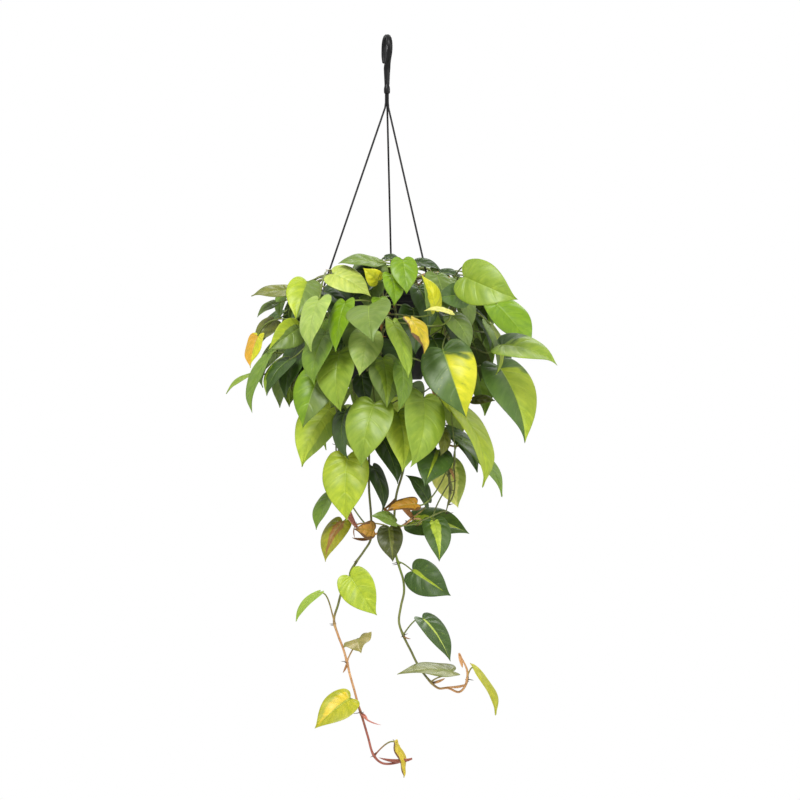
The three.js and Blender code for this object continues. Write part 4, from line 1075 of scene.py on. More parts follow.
# Colours of the long stems, each at the pixel where it is reached, from the root on
STEM_DEPTH = -60
STEM_COLOURS = {
    "vine_left": [("stem", (338, 612)), ("tan", (336, 634)), ("tan", (352, 690)), ("red", (366, 726))],
    "vine_right": [("stem", (396, 505)), ("light", (395, 520)), ("light", (398, 560)),
                   ("stem", (403, 600)), ("stem", (428, 676)), ("tan", (446, 688))],
    "vine_crossing": [("stem", (341, 480)), ("tan", (348, 516))],
}
PLAIN_STEM = [("stem", (PHOTO_CENTRE, PHOTO_CENTRE))]
IN_VIEW = (1, 0, 1)

# Fine petioles: thicker at the stem, and less so at the blade, over these shares of their length
PETIOLE_RING_SIDES = 10
PETIOLE_FINE_STEPS = 22
PETIOLE_THIN = 0.95
PETIOLE_SWELLING = 0.75
STEM_END = 0.05
BLADE_END = 0.06
BLADE_END_SHARE = 0.6
PETIOLE_SHADE = 0.7

# Root hairs and dried sheaths, in mm and in shares of their length
ROOT_HAIRS = 3
ROOT_LENGTHS = (3, 12)
ROOT_RADII = [0.7, 0.5, 0.35, 0.12]
ROOT_SHARES = (0, 0.5, 0.8, 1)
ROOT_SAG = 0.15
ROOT_SIDES = 6
ROOT_OUT = 0.5
ROOT_STRAY = 2
SHEATH_CHANCE = 0.35
SHEATH_ALONG = (0.2, 1)
SHEATH_OUT = 0.4
SHEATH_ASIDE = (-0.8, 0.8)
SHEATH_UP = 0.6
SHEATH_LENGTHS = (12, 20)
SHEATH_COLOURS = ["dry", "pink", "tan", "dry"]
SHEATH_ROWS = 9
SHEATH_COLUMNS = 7
SHEATH_WRAP = 1.1
SHEATH_CURL = 0.22
SHEATH_WIDTH = 0.13
SHEATH_BLUNTNESS = 0.12
SHEATH_LEAST_WIDTH = 0.15
SHEATH_DEPTH_SHARE = 0.8
SHEATH_THICKNESS = 0.25

# Sheaths that the photograph shows: stem, pixel where each starts, pixel where it ends, colour
SHOWN_SHEATHS = [
    ("left", (362, 713), (379, 729), "pink"),
    ("left", (412, 758), (380, 764), "red"),
    ("left", (371, 538), (352, 541), "dry"),
    ("right", (459, 653), (463, 668), "tan"),
    ("right", (466, 684), (448, 690), "tan"),
    ("right", (396, 497), (384, 513), "dry"),
    ("crossing", (413, 519), (398, 499), "dry"),
    ("crossing", (342, 490), (352, 531), "pink"),
    ("crossing", (396, 529), (384, 506), "dry"),
    ("middle", (414, 336), (396, 306), "pink"),
    ("middle", (438, 400), (430, 352), "tan"),
]
SHEATH_LEAN = 4
SHEATH_SPACING = 2


def add_blade(piece, leaf, draws):
    look = leaf["look"]
    if look is None:
        names, weights = zip(*(INNER_SHADE_LOOKS if leaf["inner"] else HIDDEN_LOOKS))
        look = draws.choice(names, p=np.array(weights) / sum(weights))
    main, second, low, high, start, end = LOOKS.get(look, (look, look, *NOWHERE, *WHOLE))
    habit = {name: draws.uniform(*span) for name, span in BLADE_HABIT.items()}
    if look in OLD_LOOKS:
        habit["wave"] = OLD_WAVE
    tint = draws.uniform(*TINTS)
    piece.add(fine_blade(leaf, habit), BLADE["triangles"], BLADE_SLOT, along=BLADE["share"],
              across=BLADE["across"], under=BLADE["thick"] < 0, main=linear(main) * tint,
              second=linear(second) * tint, patch=[low, high, draws.uniform(*NOISE_SEEDS)],
              reach=[start, end, 0])


def add_petiole(piece, leaf, top_colour):
    petiole = leaf["petiole"]
    steps = np.linspace(0, 1, PETIOLE_FINE_STEPS)
    line = bezier(petiole["point"], petiole["leave"], petiole["arrive"], leaf["base"], steps)
    ends = np.maximum(np.exp(-steps / STEM_END), BLADE_END_SHARE * np.exp(-(1 - steps) / BLADE_END))
    points, triangles, lengths = tube(line, PETIOLE_THIN + PETIOLE_SWELLING * ends, PETIOLE_RING_SIDES)
    share = np.clip(lengths / lengths.max(), 0, 1)[:, None]
    colour = mix(top_colour, linear("light") * PETIOLE_SHADE, share)
    piece.add(points, triangles, STEM_SLOT, along=lengths, main=colour)


def stem_colour(name, line, run, lengths):
    """Colour of a stem at given lengths along it."""
    stops = STEM_COLOURS.get(name, PLAIN_STEM)
    reached = [run[nearest(line, seen(*pixel, STEM_DEPTH), IN_VIEW)] for _, pixel in stops]
    shades = np.array([linear(colour) for colour, _ in stops])
    return np.stack([np.interp(lengths, reached, shade) for shade in shades.T], 1)


def add_stem_line(piece, stem, draws):
    """The stem itself, swollen at its nodes and tapering to its tip, and its colour at each node."""
    points = stem["points"]
    line = np.concatenate([points[:1], smooth(points[1:], STEM_PIECES)])
    run = run_along(line)
    taper = np.clip(STEM_TIP_SHARE + (run[-1] - run) / STEM_TAPER, STEM_TIP_SHARE, 1)
    radii = FINE_STEM_RADIUS * taper
    nodes = [leaf["petiole"]["point"] for leaf in stem["leaves"]]
    for node in nodes:
        radii = radii * (1 + NODE_SWELLING * np.exp(-(size(line - node) / NODE_LENGTH) ** 2))
    vertices, triangles, lengths = tube(line, radii, STEM_RING_SIDES)
    colour = stem_colour(stem["name"], line, run, lengths)
    piece.add(vertices, triangles, STEM_SLOT, along=lengths, main=colour)
    for node in nodes:
        add_node_parts(piece, line, node, draws)
    return stem_colour(stem["name"], line, run, run[[nearest(line, node) for node in nodes]])


def add_node_parts(piece, line, node, draws):
    """What a node carries beside its leaf: a few root hairs, and sometimes a dried sheath."""
    k = nearest(line, node)
    tangent = unit(line[min(k + 1, len(line) - 1)] - line[max(k - 1, 0)])
    out = unit(np.array([node[0] - POT_X, node[1], 0.0]))
    side = cross(tangent, out)
    for _ in range(ROOT_HAIRS):
        aside = unit(side * draws.uniform(-1, 1) + out * ROOT_OUT)
        length = draws.uniform(*ROOT_LENGTHS)
        start = line[k] + tangent * draws.uniform(-ROOT_STRAY, ROOT_STRAY)
        way = [start + aside * length * s - tangent * ROOT_SAG * length * s * s for s in ROOT_SHARES]
        vertices, triangles, lengths = tube(way, ROOT_RADII, ROOT_SIDES)
        piece.add(vertices, triangles, STEM_SLOT, along=lengths, main=linear("root"))
    if draws.uniform() < SHEATH_CHANCE:
        way = tangent * draws.uniform(*SHEATH_ALONG) + out * SHEATH_OUT
        way = unit(way + side * draws.uniform(*SHEATH_ASIDE))
        colour = SHEATH_COLOURS[draws.integers(len(SHEATH_COLOURS))]
        add_sheath(piece, line[k], way, draws.uniform(*SHEATH_LENGTHS), colour, draws)


def add_sheath(piece, start, way, length, colour, draws):
    """A thin dried sheath: a narrow trough that tapers to a point and curls back."""
    up = unit(np.array([draws.uniform(-1, 1), draws.uniform(-1, 1), SHEATH_UP]))
    up = unit(up - way * dot(up, way))
    shares = np.linspace(0, 1, SHEATH_ROWS)[:, None]
    angles = np.linspace(-SHEATH_WRAP, SHEATH_WRAP, SHEATH_COLUMNS)[:, None]
    centre = start + way * (length * shares) + up * (SHEATH_CURL * length * shares ** 2)
    swelling = np.sin(math.pi * (SHEATH_BLUNTNESS + (1 - SHEATH_BLUNTNESS) * shares[..., None])) ** 0.8
    width = SHEATH_WIDTH * length * swelling + SHEATH_LEAST_WIDTH
    layers = [centre[:, None] + np.sin(angles) * cross(way, up) * width
              - np.cos(angles) * up * (SHEATH_DEPTH_SHARE * width - thick)
              for thick in (0.0, SHEATH_THICKNESS)]
    grid = np.arange(SHEATH_ROWS * SHEATH_COLUMNS).reshape(SHEATH_ROWS, SHEATH_COLUMNS)
    other = grid + grid.size
    rim = np.concatenate([grid[:, 0], grid[-1, 1:], grid[-2::-1, -1], grid[0, -2::-1]])
    triangles = [*quads(grid[:-1, :-1], grid[:-1, 1:], grid[1:, 1:], grid[1:, :-1]),
                 *quads(other[:-1, :-1], other[1:, :-1], other[1:, 1:], other[:-1, 1:]),
                 *quads(rim[:-1], rim[1:], rim[1:] + grid.size, rim[:-1] + grid.size)]
    run = np.tile(np.repeat(shares * length, SHEATH_COLUMNS), 2)
    piece.add(np.concatenate(layers).reshape(-1, 3), np.concatenate(triangles), SHEATH_SLOT,
              along=run, main=linear(colour))


def add_shown_sheaths(piece, stem, draws):
    line = along(stem["line"], SHEATH_SPACING)
    for name, start, end, colour in SHOWN_SHEATHS:
        if stem["name"] == f"vine_{name}":
            depth = line[nearest(line, seen(*start, STEM_DEPTH), IN_VIEW)][1]
            first = seen(*start, depth)
            reach = seen(*end, depth - SHEATH_LEAN) - first
            add_sheath(piece, line[nearest(line, first)], unit(reach), size(reach), colour, draws)


def build_vines(materials):
    for index, stem in enumerate(stems):
        draws = np.random.default_rng(FIRST_SEED + index)
        piece = Gathered()
        node_colours = add_stem_line(piece, stem, draws)
        for leaf, colour in zip(stem["leaves"], node_colours):
            add_petiole(piece, leaf, colour)
            add_blade(piece, leaf, draws)
        add_shown_sheaths(piece, stem, draws)
        piece.build("leafy_" + stem["name"], materials, [stem["name"]], fields=True)


# Pot, soil, hook and strands

LUG_BEVEL = 0.4
LUG_OVERLAP = 1.6
LUG_STEPS = 17
HOLE_STEPS = 24
DRAIN_SIDES = 32
POT_SEGMENTS = 128
POT_SHARP_ANGLE = 40
RIM_LIP = 1.4
FLOOR_CORNER = 3.8
LIP_FLARE = 0.8
FOOT_FLARE = 0.8
FOOT_WIDTH = 4.8
FOOT_HEIGHT = 2.2
BAND_HEIGHT = 9
BAND_TAPER = 1.6
BAND_STEP = 0.8
CORNER_RADII = [2.5, 3, 0.8, 1.2, 1.6, 0.6, 0.5, 0.8, 0.8, 0.8, 2, 1, 0.5, 0.5]

# Soil: its mound, the crumbs of its top, and how many grains of each kind lie on it, with their sizes
SOIL_SEED = 31
SOIL_GAP = 0.5
SOIL_DOME = 1.5
SOIL_EDGE = 3
SOIL_RINGS = 34
SOIL_SEGMENTS = 96
CRUMBS = [(1.8, 9, 0), (1.2, 3, 5)]
PERLITE_SLOT = 1
BARK_SLOT = 2
GRAINS = [(PERLITE_SLOT, 60, (0.8, 1.9)), (BARK_SLOT, 220, (1.0, 3.2))]
BARK_STRETCH = [1, 0.55, 0.3]
GRAIN_MARGIN = 4
GRAIN_HEIGHTS = (-0.6, 0.8)
GRAIN_ROUGHNESS = 0.25
PEBBLE_SIDES = 7


def round_corner(profile, radii, steps=5):
    """A profile whose corners are rounded by quadratic curves that start a radius away."""
    result = [profile[0]]
    for before, corner, after, radius in zip(profile[:-2], profile[1:-1], profile[2:], radii):
        before, corner, after = (np.array(p, float) for p in (before, corner, after))
        ends = []
        for other in (before, after):
            reach = np.hypot(*(other - corner))
            ends.append(corner + (other - corner) / reach * min(radius, 0.49 * reach))
        for s in np.linspace(0, 1, steps):
            result.append(list((1 - s) ** 2 * ends[0] + 2 * s * (1 - s) * corner + s * s * ends[1]))
    result.append(profile[-1])
    return result


def lug_mesh(azimuth, material):
    """A bevelled tab with a round hole, made from a filled curve."""
    curve = bpy.data.curves.new("lug", "CURVE")
    curve.dimensions = "2D"
    curve.fill_mode = "BOTH"
    curve.extrude = (LUG_THICKNESS / 2 - LUG_BEVEL) * MM
    curve.bevel_depth = LUG_BEVEL * MM
    curve.bevel_resolution = 2
    half = LUG_WIDTH / 2 - LUG_BEVEL
    inner = POT_TOP_INSIDE + LUG_OVERLAP
    turns = np.linspace(-math.pi / 2, math.pi / 2, LUG_STEPS)
    hole_turns = np.linspace(0, 2 * math.pi, HOLE_STEPS + 1)[:-1]
    outline, hole = ([(LUG_RADIUS + radius * math.cos(t), radius * math.sin(t)) for t in angles]
                     for radius, angles in ((half, turns), (LUG_HOLE_RADIUS + LUG_BEVEL, hole_turns)))
    for path in ([(inner, -half), *outline, (inner, half)], hole):
        spline = curve.splines.new("POLY")
        spline.points.add(len(path) - 1)
        for point, (x, y) in zip(spline.points, path):
            point.co = (x * MM, y * MM, 0, 1)
        spline.use_cyclic_u = True
    temporary = add_object("lug_curve", curve)
    mesh = final_mesh(temporary)
    bpy.data.objects.remove(temporary)
    middle = Vector((POT_X * MM, 0, (LUG_TOP - LUG_THICKNESS / 2) * MM))
    mesh.transform(Matrix.Translation(middle) @ Matrix.Rotation((azimuth - 90) * DEGREE, 4, "Z"))
    mesh.materials.clear()
    mesh.materials.append(material)
    return mesh


def build_pot(material):
    """The pot: a smooth tapered wall under a rolled rim, a drained floor on a foot ring, and lugs."""
    foot = POT_BOTTOM_INSIDE + FOOT_FLARE
    hollow = POT_BOTTOM + FOOT_HEIGHT
    outside = POT_TOP_INSIDE + POT_WALL
    inside_top = RIM_Z - RIM_HEIGHT
    profile = [[NEAR_AXIS, POT_FLOOR], [POT_BOTTOM_INSIDE - 1, POT_FLOOR],
               [POT_BOTTOM_INSIDE, POT_FLOOR + FLOOR_CORNER],
               [POT_TOP_INSIDE, inside_top], [POT_TOP_INSIDE + LIP_FLARE, RIM_Z], [RIM_RADIUS, RIM_Z],
               [RIM_RADIUS, inside_top + 0.5], [RIM_RADIUS - RIM_LIP, inside_top],
               [outside, inside_top - 1], [outside - BAND_TAPER, inside_top - BAND_HEIGHT],
               [outside - BAND_TAPER - BAND_STEP, inside_top - BAND_HEIGHT - 0.6],
               [POT_BOTTOM_INSIDE + POT_WALL, POT_FLOOR + 0.8], [foot, POT_BOTTOM],
               [foot - FOOT_WIDTH, POT_BOTTOM], [foot - FOOT_WIDTH - 1, hollow], [NEAR_AXIS, hollow]]
    piece = Gathered()
    piece.add(*revolve(round_corner(profile, CORNER_RADII), POT_SEGMENTS, (POT_X, 0)))
    pot = piece.build("pot_moulded", [material], ["pot"])
    cutters = Gathered()
    for i in range(DRAIN_HOLES):
        low, high = (around(360 * i / DRAIN_HOLES, DRAIN_RING, z) for z in (POT_BOTTOM - 2, POT_FLOOR + 2))
        cutters.add(*tube([low, high], DRAIN_RADIUS, DRAIN_SIDES)[:2])
    cutter = cutters.build("drain_cutter", [material], [])
    cut = pot.modifiers.new("drains", "BOOLEAN")
    cut.object = cutter
    cut.solver = "EXACT"
    body = final_mesh(pot)
    pot.modifiers.clear()
    bpy.data.objects.remove(cutter)
    whole = bmesh.new()
    for mesh in (body, *[lug_mesh(azimuth, material) for azimuth in STRAND_AZIMUTHS]):
        whole.from_mesh(mesh)
    whole.to_mesh(pot.data)
    whole.free()
    pot.data.shade_smooth()
    pot.data.set_sharp_from_angle(angle=POT_SHARP_ANGLE * DEGREE)


def build_soil(materials):
    """Potting mix: a mound with a crumbly top, and bark and perlite lying on it."""
    draws = np.random.default_rng(SOIL_SEED)
    low = POT_FLOOR + FLOOR_CORNER
    slope = (POT_TOP_INSIDE - POT_BOTTOM_INSIDE) / (RIM_Z - RIM_HEIGHT - low)
    top_radius = POT_BOTTOM_INSIDE + (SOIL_TOP - 2 - low) * slope - SOIL_GAP
    radii = np.linspace(NEAR_AXIS, 1, SOIL_RINGS) * top_radius
    wall = [[NEAR_AXIS, POT_FLOOR + 0.3], [POT_BOTTOM_INSIDE - 1.6, POT_FLOOR + 0.3],
            [POT_BOTTOM_INSIDE - SOIL_GAP, low], [top_radius, SOIL_TOP - SOIL_EDGE]]
    mound = [[r, SOIL_TOP - SOIL_DOME * (r / top_radius) ** 4] for r in radii[::-1]]
    points, triangles = revolve(wall + mound, SOIL_SEGMENTS, (POT_X, 0))
    for point in points:
        if point[2] > SOIL_TOP - 2:
            x, y, _ = point
            point[2] += sum(depth * noise.noise(Vector((x / width, y / width, seed)))
                            for depth, width, seed in CRUMBS)
    piece = Gathered()
    piece.add(points, triangles[:, ::-1])
    for kind, count, sizes in GRAINS:
        for _ in range(count):
            add_grain(piece, draws, kind, top_radius - GRAIN_MARGIN, sizes)
    piece.build("soil_crumbly", materials, ["soil"])


def add_grain(piece, draws, kind, reach, sizes):
    radius = reach * math.sqrt(draws.uniform())
    angle = draws.uniform(0, 2 * math.pi)
    height = SOIL_TOP + draws.uniform(*GRAIN_HEIGHTS)
    centre = np.array([POT_X + radius * math.cos(angle), radius * math.sin(angle), height])
    scale = draws.uniform(*sizes)
    rough = 1 + draws.uniform(-GRAIN_ROUGHNESS, GRAIN_ROUGHNESS, len(PEBBLE[0]))
    stretch = np.array(BARK_STRETCH if kind == BARK_SLOT else [1, 1, 1])
    points = turned(PEBBLE[0] * rough[:, None] * stretch * scale, draws.uniform(0, 2 * math.pi))
    piece.add(points + centre, PEBBLE[1], kind)


def pebble():
    """A small ball of three rings and two poles, that each grain is a rough copy of."""
    cosines, sines = circle(PEBBLE_SIDES)
    rings = [np.stack([math.cos(a) * cosines, math.cos(a) * sines, np.full(PEBBLE_SIDES, math.sin(a))], 1)
             for a in np.array([-60, 0, 60]) * DEGREE]
    first = np.arange(PEBBLE_SIDES)
    ahead = np.roll(first, -1)
    top = 2 * PEBBLE_SIDES
    poles = 3 * PEBBLE_SIDES
    triangles = [ring_faces(3, PEBBLE_SIDES), fan(poles, ahead, first),
                 fan(poles + 1, top + first, top + ahead)]
    return np.concatenate([*rings, [[0, 0, -1], [0, 0, 1]]]), np.concatenate(triangles)


PEBBLE = pebble()


def build_hook(material):
    """The hook's bent shaft, broader than thick, and the collar that grips the strands."""
    turns = [math.pi * (1 - i / HOOK_STEPS) for i in range(HOOK_STEPS + 1)]
    bow = [[HOOK_BEND * math.cos(t), HOOK_BEND * math.sin(t) - HOOK_INNER_RADIUS] for t in turns]
    path = np.array([[x, 0, z] for x, z in [*HOOK_TIP, *bow, *HOOK_SHAFT]], float)
    radii = [*HOOK_TIP_RADII, *[HOOK_RADIUS] * len(bow), *HOOK_SHAFT_RADII]
    line = smooth(np.concatenate([path, np.array(radii)[:, None]], 1), HOOK_PIECES)
    start = line[0] - (line[1] - line[0]) / size((line[1] - line[0])[:3]) * HOOK_CAP
    cap = np.array([[*start[:3], HOOK_CAP_SHARE * line[0, 3]]])
    line = np.concatenate([cap, line])
    points, triangles, _ = tube(line[:, :3], line[:, 3], HOOK_SIDES, guide=[0, 1, 0])
    piece = Gathered()
    piece.add(turned(points * np.array([1, HOOK_BREADTH, 1]), HOOK_TURN * DEGREE), triangles)
    socket_top = COLLAR_BOTTOM + SOCKET_DEPTH
    profile = [[NEAR_AXIS, COLLAR_TOP + 2], [COLLAR_NECK_RADIUS, COLLAR_TOP + 2],
               [COLLAR_RADIUS, COLLAR_TOP - 4], [COLLAR_RADIUS, COLLAR_BOTTOM + 3],
               [COLLAR_RADIUS - 0.3, COLLAR_BOTTOM], [SOCKET_RADIUS, COLLAR_BOTTOM],
               [SOCKET_RADIUS, socket_top], [NEAR_AXIS, socket_top]]
    points, triangles = revolve(round_corner(profile, COLLAR_CORNER_RADII), COLLAR_SEGMENTS)
    piece.add(points, triangles[:, ::-1])
    hook = piece.build("hook_moulded", [material], ["hook"])
    hook.data.set_sharp_from_angle(angle=SHARP_ANGLE * DEGREE)


def build_strands(material):
    lug_bottom = LUG_TOP - LUG_THICKNESS
    top = COLLAR_BOTTOM + SOCKET_DEPTH - 0.6
    for azimuth, name in zip(STRAND_AZIMUTHS, STRAND_NAMES):
        inner = outward(azimuth) * BUNDLE_RADIUS
        first, second = (np.array([0, 0, z]) + inner for z in (top, BUNDLE_END))
        third, last = (around(azimuth, LUG_RADIUS, z) for z in (STRAND_BEND, lug_bottom - 0.2))
        shares = [0.012, *np.linspace(0.03, 0.97, STRAND_RINGS), 0.988]
        barb = [around(azimuth, LUG_RADIUS, lug_bottom - x) for x in (0.6, 1.2, BARB_LENGTH)]
        line = [first, mix(first, second, 0.8), *[mix(second, third, s) for s in shares],
                mix(third, last, 0.3), last, *barb]
        radii = [STRAND_RADIUS] * (len(line) - 3) + [BARB_RADIUS, BARB_RADIUS, BARB_TIP_RADIUS]
        piece = Gathered()
        piece.add(*tube(line, radii, STRAND_SIDES)[:2])
        strand = piece.build("moulded_" + name, [material], [name])
        strand.data.set_sharp_from_angle(angle=SHARP_ANGLE * DEGREE)


# Materials


class Shader:
    """A Principled material and short ways to add nodes to it."""

    def __init__(self, name):
        self.material = bpy.data.materials.new(name)
        self.material.use_nodes = True
        self.tree = self.material.node_tree
        self.surface = self.tree.nodes["Principled BSDF"]

    def node(self, kind, settings=None, **inputs):
        made = self.tree.nodes.new(kind)
        for key, value in (settings or {}).items():
            setattr(made, key, value)
        for key, value in inputs.items():
            name = key.replace("_", " ") if not key.startswith("in") else int(key[2:])
            self.put(made.inputs[name], value)
        return made

    def put(self, socket, value):
        if hasattr(value, "links"):
            self.tree.links.new(value, socket)
        else:
            socket.default_value = value

    def set(self, **inputs):
        for key, value in inputs.items():
            self.put(self.surface.inputs[key.replace("_", " ")], value)

    def field(self, name, output="Fac"):
        return self.node("ShaderNodeAttribute", {"attribute_name": name}).outputs[output]

    def parts(self, name):
        """The three numbers of a field."""
        return self.node("ShaderNodeSeparateXYZ", Vector=self.field(name, "Vector")).outputs

    def math(self, operation, a, b=0.0, clamp=False):
        settings = {"operation": operation, "use_clamp": clamp}
        return self.node("ShaderNodeMath", settings, in0=a, in1=b).outputs[0]

    def times(self, a, b):
        return self.math("MULTIPLY", a, b)

    def plus(self, a, b):
        return self.math("ADD", a, b)

    def minus(self, a, b, clamp=False):
        return self.math("SUBTRACT", a, b, clamp)

    def step(self, value, low, high, to_low=0.0, to_high=1.0):
        made = self.node("ShaderNodeMapRange", {"interpolation_type": "SMOOTHSTEP"}, Value=value,
                         From_Min=low, From_Max=high, To_Min=to_low, To_Max=to_high)
        return made.outputs[0]

    def noise(self, vector, scale, detail=3.0, roughness=0.55):
        made = self.node("ShaderNodeTexNoise", Vector=vector, Scale=scale, Detail=detail,
                         Roughness=roughness)
        return made.outputs["Fac"]

    def grain(self, scale, detail=3.0, roughness=0.55):
        """Noise in the object's own coordinates."""
        here = self.node("ShaderNodeTexCoord").outputs["Object"]
        return self.noise(here, scale, detail, roughness)

    def blend(self, factor, a, b, kind="MIX"):
        made = self.node("ShaderNodeMix", {"data_type": "RGBA", "blend_type": kind, "clamp_factor": True})
        for number, value in ((0, factor), (6, a), (7, b)):
            self.put(made.inputs[number], value)
        return made.outputs[2]

    def tinted(self, colour, share, factors):
        """A colour multiplied by three factors, as far as a share says."""
        return self.blend(share, colour, self.blend(1.0, colour, (*factors, 1), "MULTIPLY"))

    def bump(self, height, strength, distance):
        return self.node("ShaderNodeBump", Height=height, Strength=strength, Distance=distance).outputs[0]


def rgba(name, share=1.0):
    return (*(linear(name) * share), 1)


def blade_material():
    """Heart-shaped leaf: green with lime or yellow sectors that run out along the side veins."""
    s = Shader("leaf_blade")
    run, across, under = s.field("along"), s.field("across"), s.field("under")
    low, high, seed = s.parts("patch")
    start, end, _ = s.parts("reach")
    distance = s.math("ABSOLUTE", across)

    def streaks(per_length, per_width, detail=3.0, roughness=0.55):
        """Noise drawn out across the blade, finer along it."""
        place = s.node("ShaderNodeCombineXYZ", X=s.times(run, per_length), Y=s.times(across, per_width),
                       Z=seed)
        return s.noise(place.outputs[0], 1.0, detail, roughness)

    # The sector of the second colour, with an edge that sways, and flecks of each colour in the other
    sway = s.minus(streaks(9.0, 1.1, 3.0, 0.5), 0.5)
    aside = s.plus(across, s.times(sway, distance))
    ahead = s.plus(run, s.times(sway, 0.35))
    inside = s.minus(s.step(s.minus(aside, low), -0.03, 0.04), s.step(s.minus(aside, high), -0.04, 0.03),
                     clamp=True)
    reached = s.minus(s.step(s.minus(ahead, start), -0.03, 0.05), s.step(s.minus(ahead, end), -0.05, 0.03),
                      clamp=True)
    flecks = s.times(s.step(streaks(46.0, 5.0, 2.0), 0.66, 0.74), s.math("LESS_THAN", low, 1.5))
    sector = s.math("ABSOLUTE", s.minus(s.times(inside, reached), s.times(flecks, 0.3)))
    colour = s.blend(sector, s.field("main", "Color"), s.field("second", "Color"))

    # Mottling; dark and light streaks along the side veins, which are painted shade and painted highlights
    # of the quilted blade; the veins themselves and the midrib
    mottle = s.grain(55.0, 4.0)
    colour = s.tinted(colour, s.step(mottle, 0.3, 0.75), (0.8, 0.84, 0.74))
    # Streaks along the side veins: painted shade where they darken, painted highlights where they lighten
    shade_and_highlight_streaks = streaks(26.0, 1.7)
    colour = s.tinted(colour, s.times(s.step(shade_and_highlight_streaks, 0.44, 0.66), 0.5), (0.66, 0.76, 0.55))
    colour = s.tinted(colour, s.times(s.step(shade_and_highlight_streaks, 0.46, 0.3), 0.5), (1.3, 1.2, 1.15))
    veins = s.math("COSINE", s.times(run, 2 * math.pi * SIDE_VEINS))
    side_vein = s.times(s.step(veins, 0.88, 1.0), s.step(distance, 1.0, 0.55))
    colour = s.tinted(colour, s.times(side_vein, 0.13), (1.7, 1.6, 1.5))
    midrib = s.step(distance, 0.05, 0.012)
    colour = s.blend(s.times(midrib, 0.35), colour, rgba("fresh"))
    colour = s.blend(under, colour, s.blend(0.25, colour, rgba("light", 0.7)))

    # Duller where mottled, on the underside and at grazing angles
    facing = s.node("ShaderNodeLayerWeight", Blend=0.5).outputs["Facing"]
    gloss = s.plus(s.times(mottle, 0.2), s.times(under, 0.2))
    gloss = s.plus(gloss, s.step(facing, 0.5, 0.95, 0.0, 0.5))
    height = s.minus(s.times(streaks(13.0, 1.4, 0.0), 2.2), s.plus(side_vein, midrib))
    s.set(Base_Color=colour, Roughness=s.plus(gloss, 0.32), Normal=s.bump(height, 0.35, 0.0006),
          Specular_IOR_Level=0.36, Subsurface_Weight=0.12, Subsurface_Scale=0.001,
          Subsurface_Radius=(0.8, 1.0, 0.2))
    return s.material


def stem_material():
    """Stem and petiole: fleshy and blotched, with darker rings at intervals."""
    s = Shader("stem_flesh")
    grain = s.grain(420.0)
    colour = s.tinted(s.field("main", "Color"), s.step(s.grain(90.0), 0.35, 0.7), (0.62, 0.55, 0.5))
    rings = s.step(s.math("COSINE", s.times(s.field("along"), 0.28)), 0.97, 1.0)
    colour = s.blend(s.times(rings, 0.4), colour, rgba("root"))
    s.set(Base_Color=colour, Roughness=s.plus(s.times(grain, 0.2), 0.4), Normal=s.bump(grain, 0.3, 0.0003))
    return s.material


def sheath_material():
    """Dried sheath: papery, with darker fibres."""
    s = Shader("dry_sheath")
    fibres = s.grain(600.0, 4.0)
    colour = s.tinted(s.field("main", "Color"), s.step(fibres, 0.35, 0.7), (0.6, 0.5, 0.42))
    s.set(Base_Color=colour, Roughness=s.plus(s.times(fibres, 0.2), 0.6),
          Normal=s.bump(fibres, 0.5, 0.0003))
    return s.material


def plastic_material(name, grey, roughness, grain, wear):
    """Moulded plastic: fine grain, faint scuffs and a little dust that dulls it in places."""
    s = Shader(name)
    moulding = s.grain(grain, 2.0)
    marks = s.step(s.grain(38.0, 5.0, 0.7), 0.5, 0.78)
    dust = (grey * 4, grey * 4, grey * 3.8, 1)
    colour = s.blend(s.times(marks, wear), (grey, grey, grey * 1.06, 1), dust)
    rough = s.plus(s.times(marks, 0.2), s.plus(s.times(moulding, 0.1), roughness))
    s.set(Base_Color=colour, Roughness=rough, Normal=s.bump(moulding, 0.04, 0.0001), Specular_IOR_Level=0.2)
    return s.material


def crumb_material(name, dark, light, scale):
    """Crumbly matter: two browns, or the white of perlite, broken up by noise."""
    s = Shader(name)
    grain = s.grain(scale, 6.0, 0.7)
    s.set(Base_Color=s.blend(s.step(grain, 0.35, 0.65), (*dark, 1), (*light, 1)),
          Roughness=s.plus(s.times(grain, 0.1), 0.86), Normal=s.bump(grain, 0.9, 0.001))
    return s.material


build_vines([blade_material(), stem_material(), sheath_material()])
build_pot(plastic_material("pot_plastic", grey=0.012, roughness=0.38, grain=1500.0, wear=0.5))
build_soil([
    crumb_material("peat", dark=(0.012, 0.008, 0.005), light=(0.05, 0.032, 0.02), scale=400.0),
    crumb_material("perlite", dark=(0.5, 0.49, 0.45), light=(0.78, 0.77, 0.73), scale=900.0),
    crumb_material("bark", dark=(0.04, 0.02, 0.01), light=(0.14, 0.075, 0.04), scale=500.0),
])
build_hook(plastic_material("hanger_plastic", grey=0.005, roughness=0.3, grain=1800.0, wear=0.3))
build_strands(plastic_material("strand_plastic", grey=0.007, roughness=0.42, grain=1800.0, wear=0.3))

# Studio: a white surround, large soft lights in front and behind, and a pale floor well below

MIDDLE = (0, 0, -0.45)
# Each light's place and width in metres and its power in watts
LIGHTS = {
    "key": ((-0.7, -2.0, 1.5), 1.1, 76),
    "fill": ((1.8, -1.6, 0.2), 1.6, 24),
    "back": ((0.4, 1.9, 0.9), 1.8, 40),
}
WHITE = (1, 1, 1, 1)
SKY_LIGHT = 0.8
FLOOR_Z = -1.5
FLOOR_HALF = 1.5

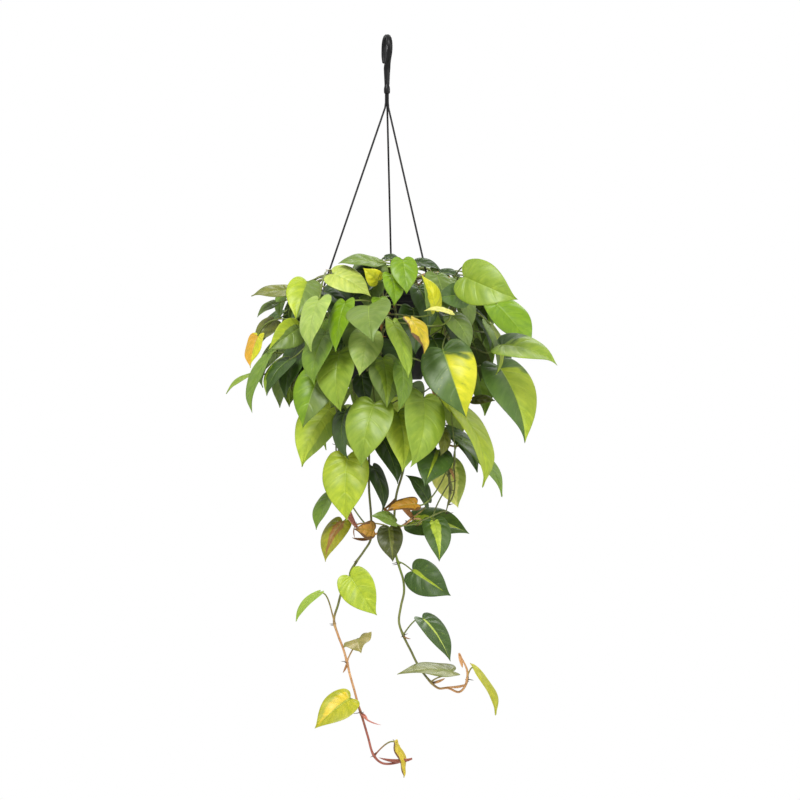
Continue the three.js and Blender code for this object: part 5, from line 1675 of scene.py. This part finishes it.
for light_name, (location, width, power) in LIGHTS.items():
    light = bpy.data.lights.new(light_name, "AREA")
    light.shape = "DISK"
    light.size = width
    light.energy = power
    lamp = add_object(light_name, light)
    lamp.location = location
    lamp.rotation_mode = "QUATERNION"
    lamp.rotation_quaternion = (Vector(MIDDLE) - Vector(location)).to_track_quat("-Z", "Y")

# The surround is white to the camera and dimmer to the leaves
world = bpy.data.worlds.new("studio")
world.use_nodes = True
world_nodes = world.node_tree.nodes
seen_sky = world_nodes["Background"]
lit_sky = world_nodes.new("ShaderNodeBackground")
for sky, strength in ((seen_sky, 1), (lit_sky, SKY_LIGHT)):
    sky.inputs["Color"].default_value = WHITE
    sky.inputs["Strength"].default_value = strength
rays = world_nodes.new("ShaderNodeLightPath")
either = world_nodes.new("ShaderNodeMixShader")
for output, socket in ((rays.outputs["Is Camera Ray"], either.inputs[0]),
                       (lit_sky.outputs[0], either.inputs[1]), (seen_sky.outputs[0], either.inputs[2]),
                       (either.outputs[0], world_nodes["World Output"].inputs["Surface"])):
    world.node_tree.links.new(output, socket)
bpy.context.scene.world = world
bpy.context.scene.view_settings.view_transform = "Standard"

floor_mesh = bpy.data.meshes.new("floor")
corners = [(x * FLOOR_HALF, y * FLOOR_HALF, FLOOR_Z) for x, y in ((-1, -1), (1, -1), (1, 1), (-1, 1))]
floor_mesh.from_pydata(corners, [], [(0, 1, 2, 3)])
floor = add_object("floor", floor_mesh)
floor_shader = Shader("pale_floor")
floor_shader.set(Base_Color=(0.86, 0.86, 0.85, 1), Roughness=0.7)
floor_mesh.materials.append(floor_shader.material)

camera_data = bpy.data.cameras.new("camera")
camera_data.sensor_width = SENSOR_WIDTH
camera_data.lens = SENSOR_WIDTH * CAMERA_DISTANCE / (PHOTO_PIXELS * MM_PER_PIXEL)
camera = add_object("camera", camera_data)
camera.location = (CAMERA_X * MM, -CAMERA_DISTANCE * MM, CAMERA_Z * MM)
camera.rotation_euler = (math.pi / 2, 0, 0)
bpy.context.scene.camera = camera
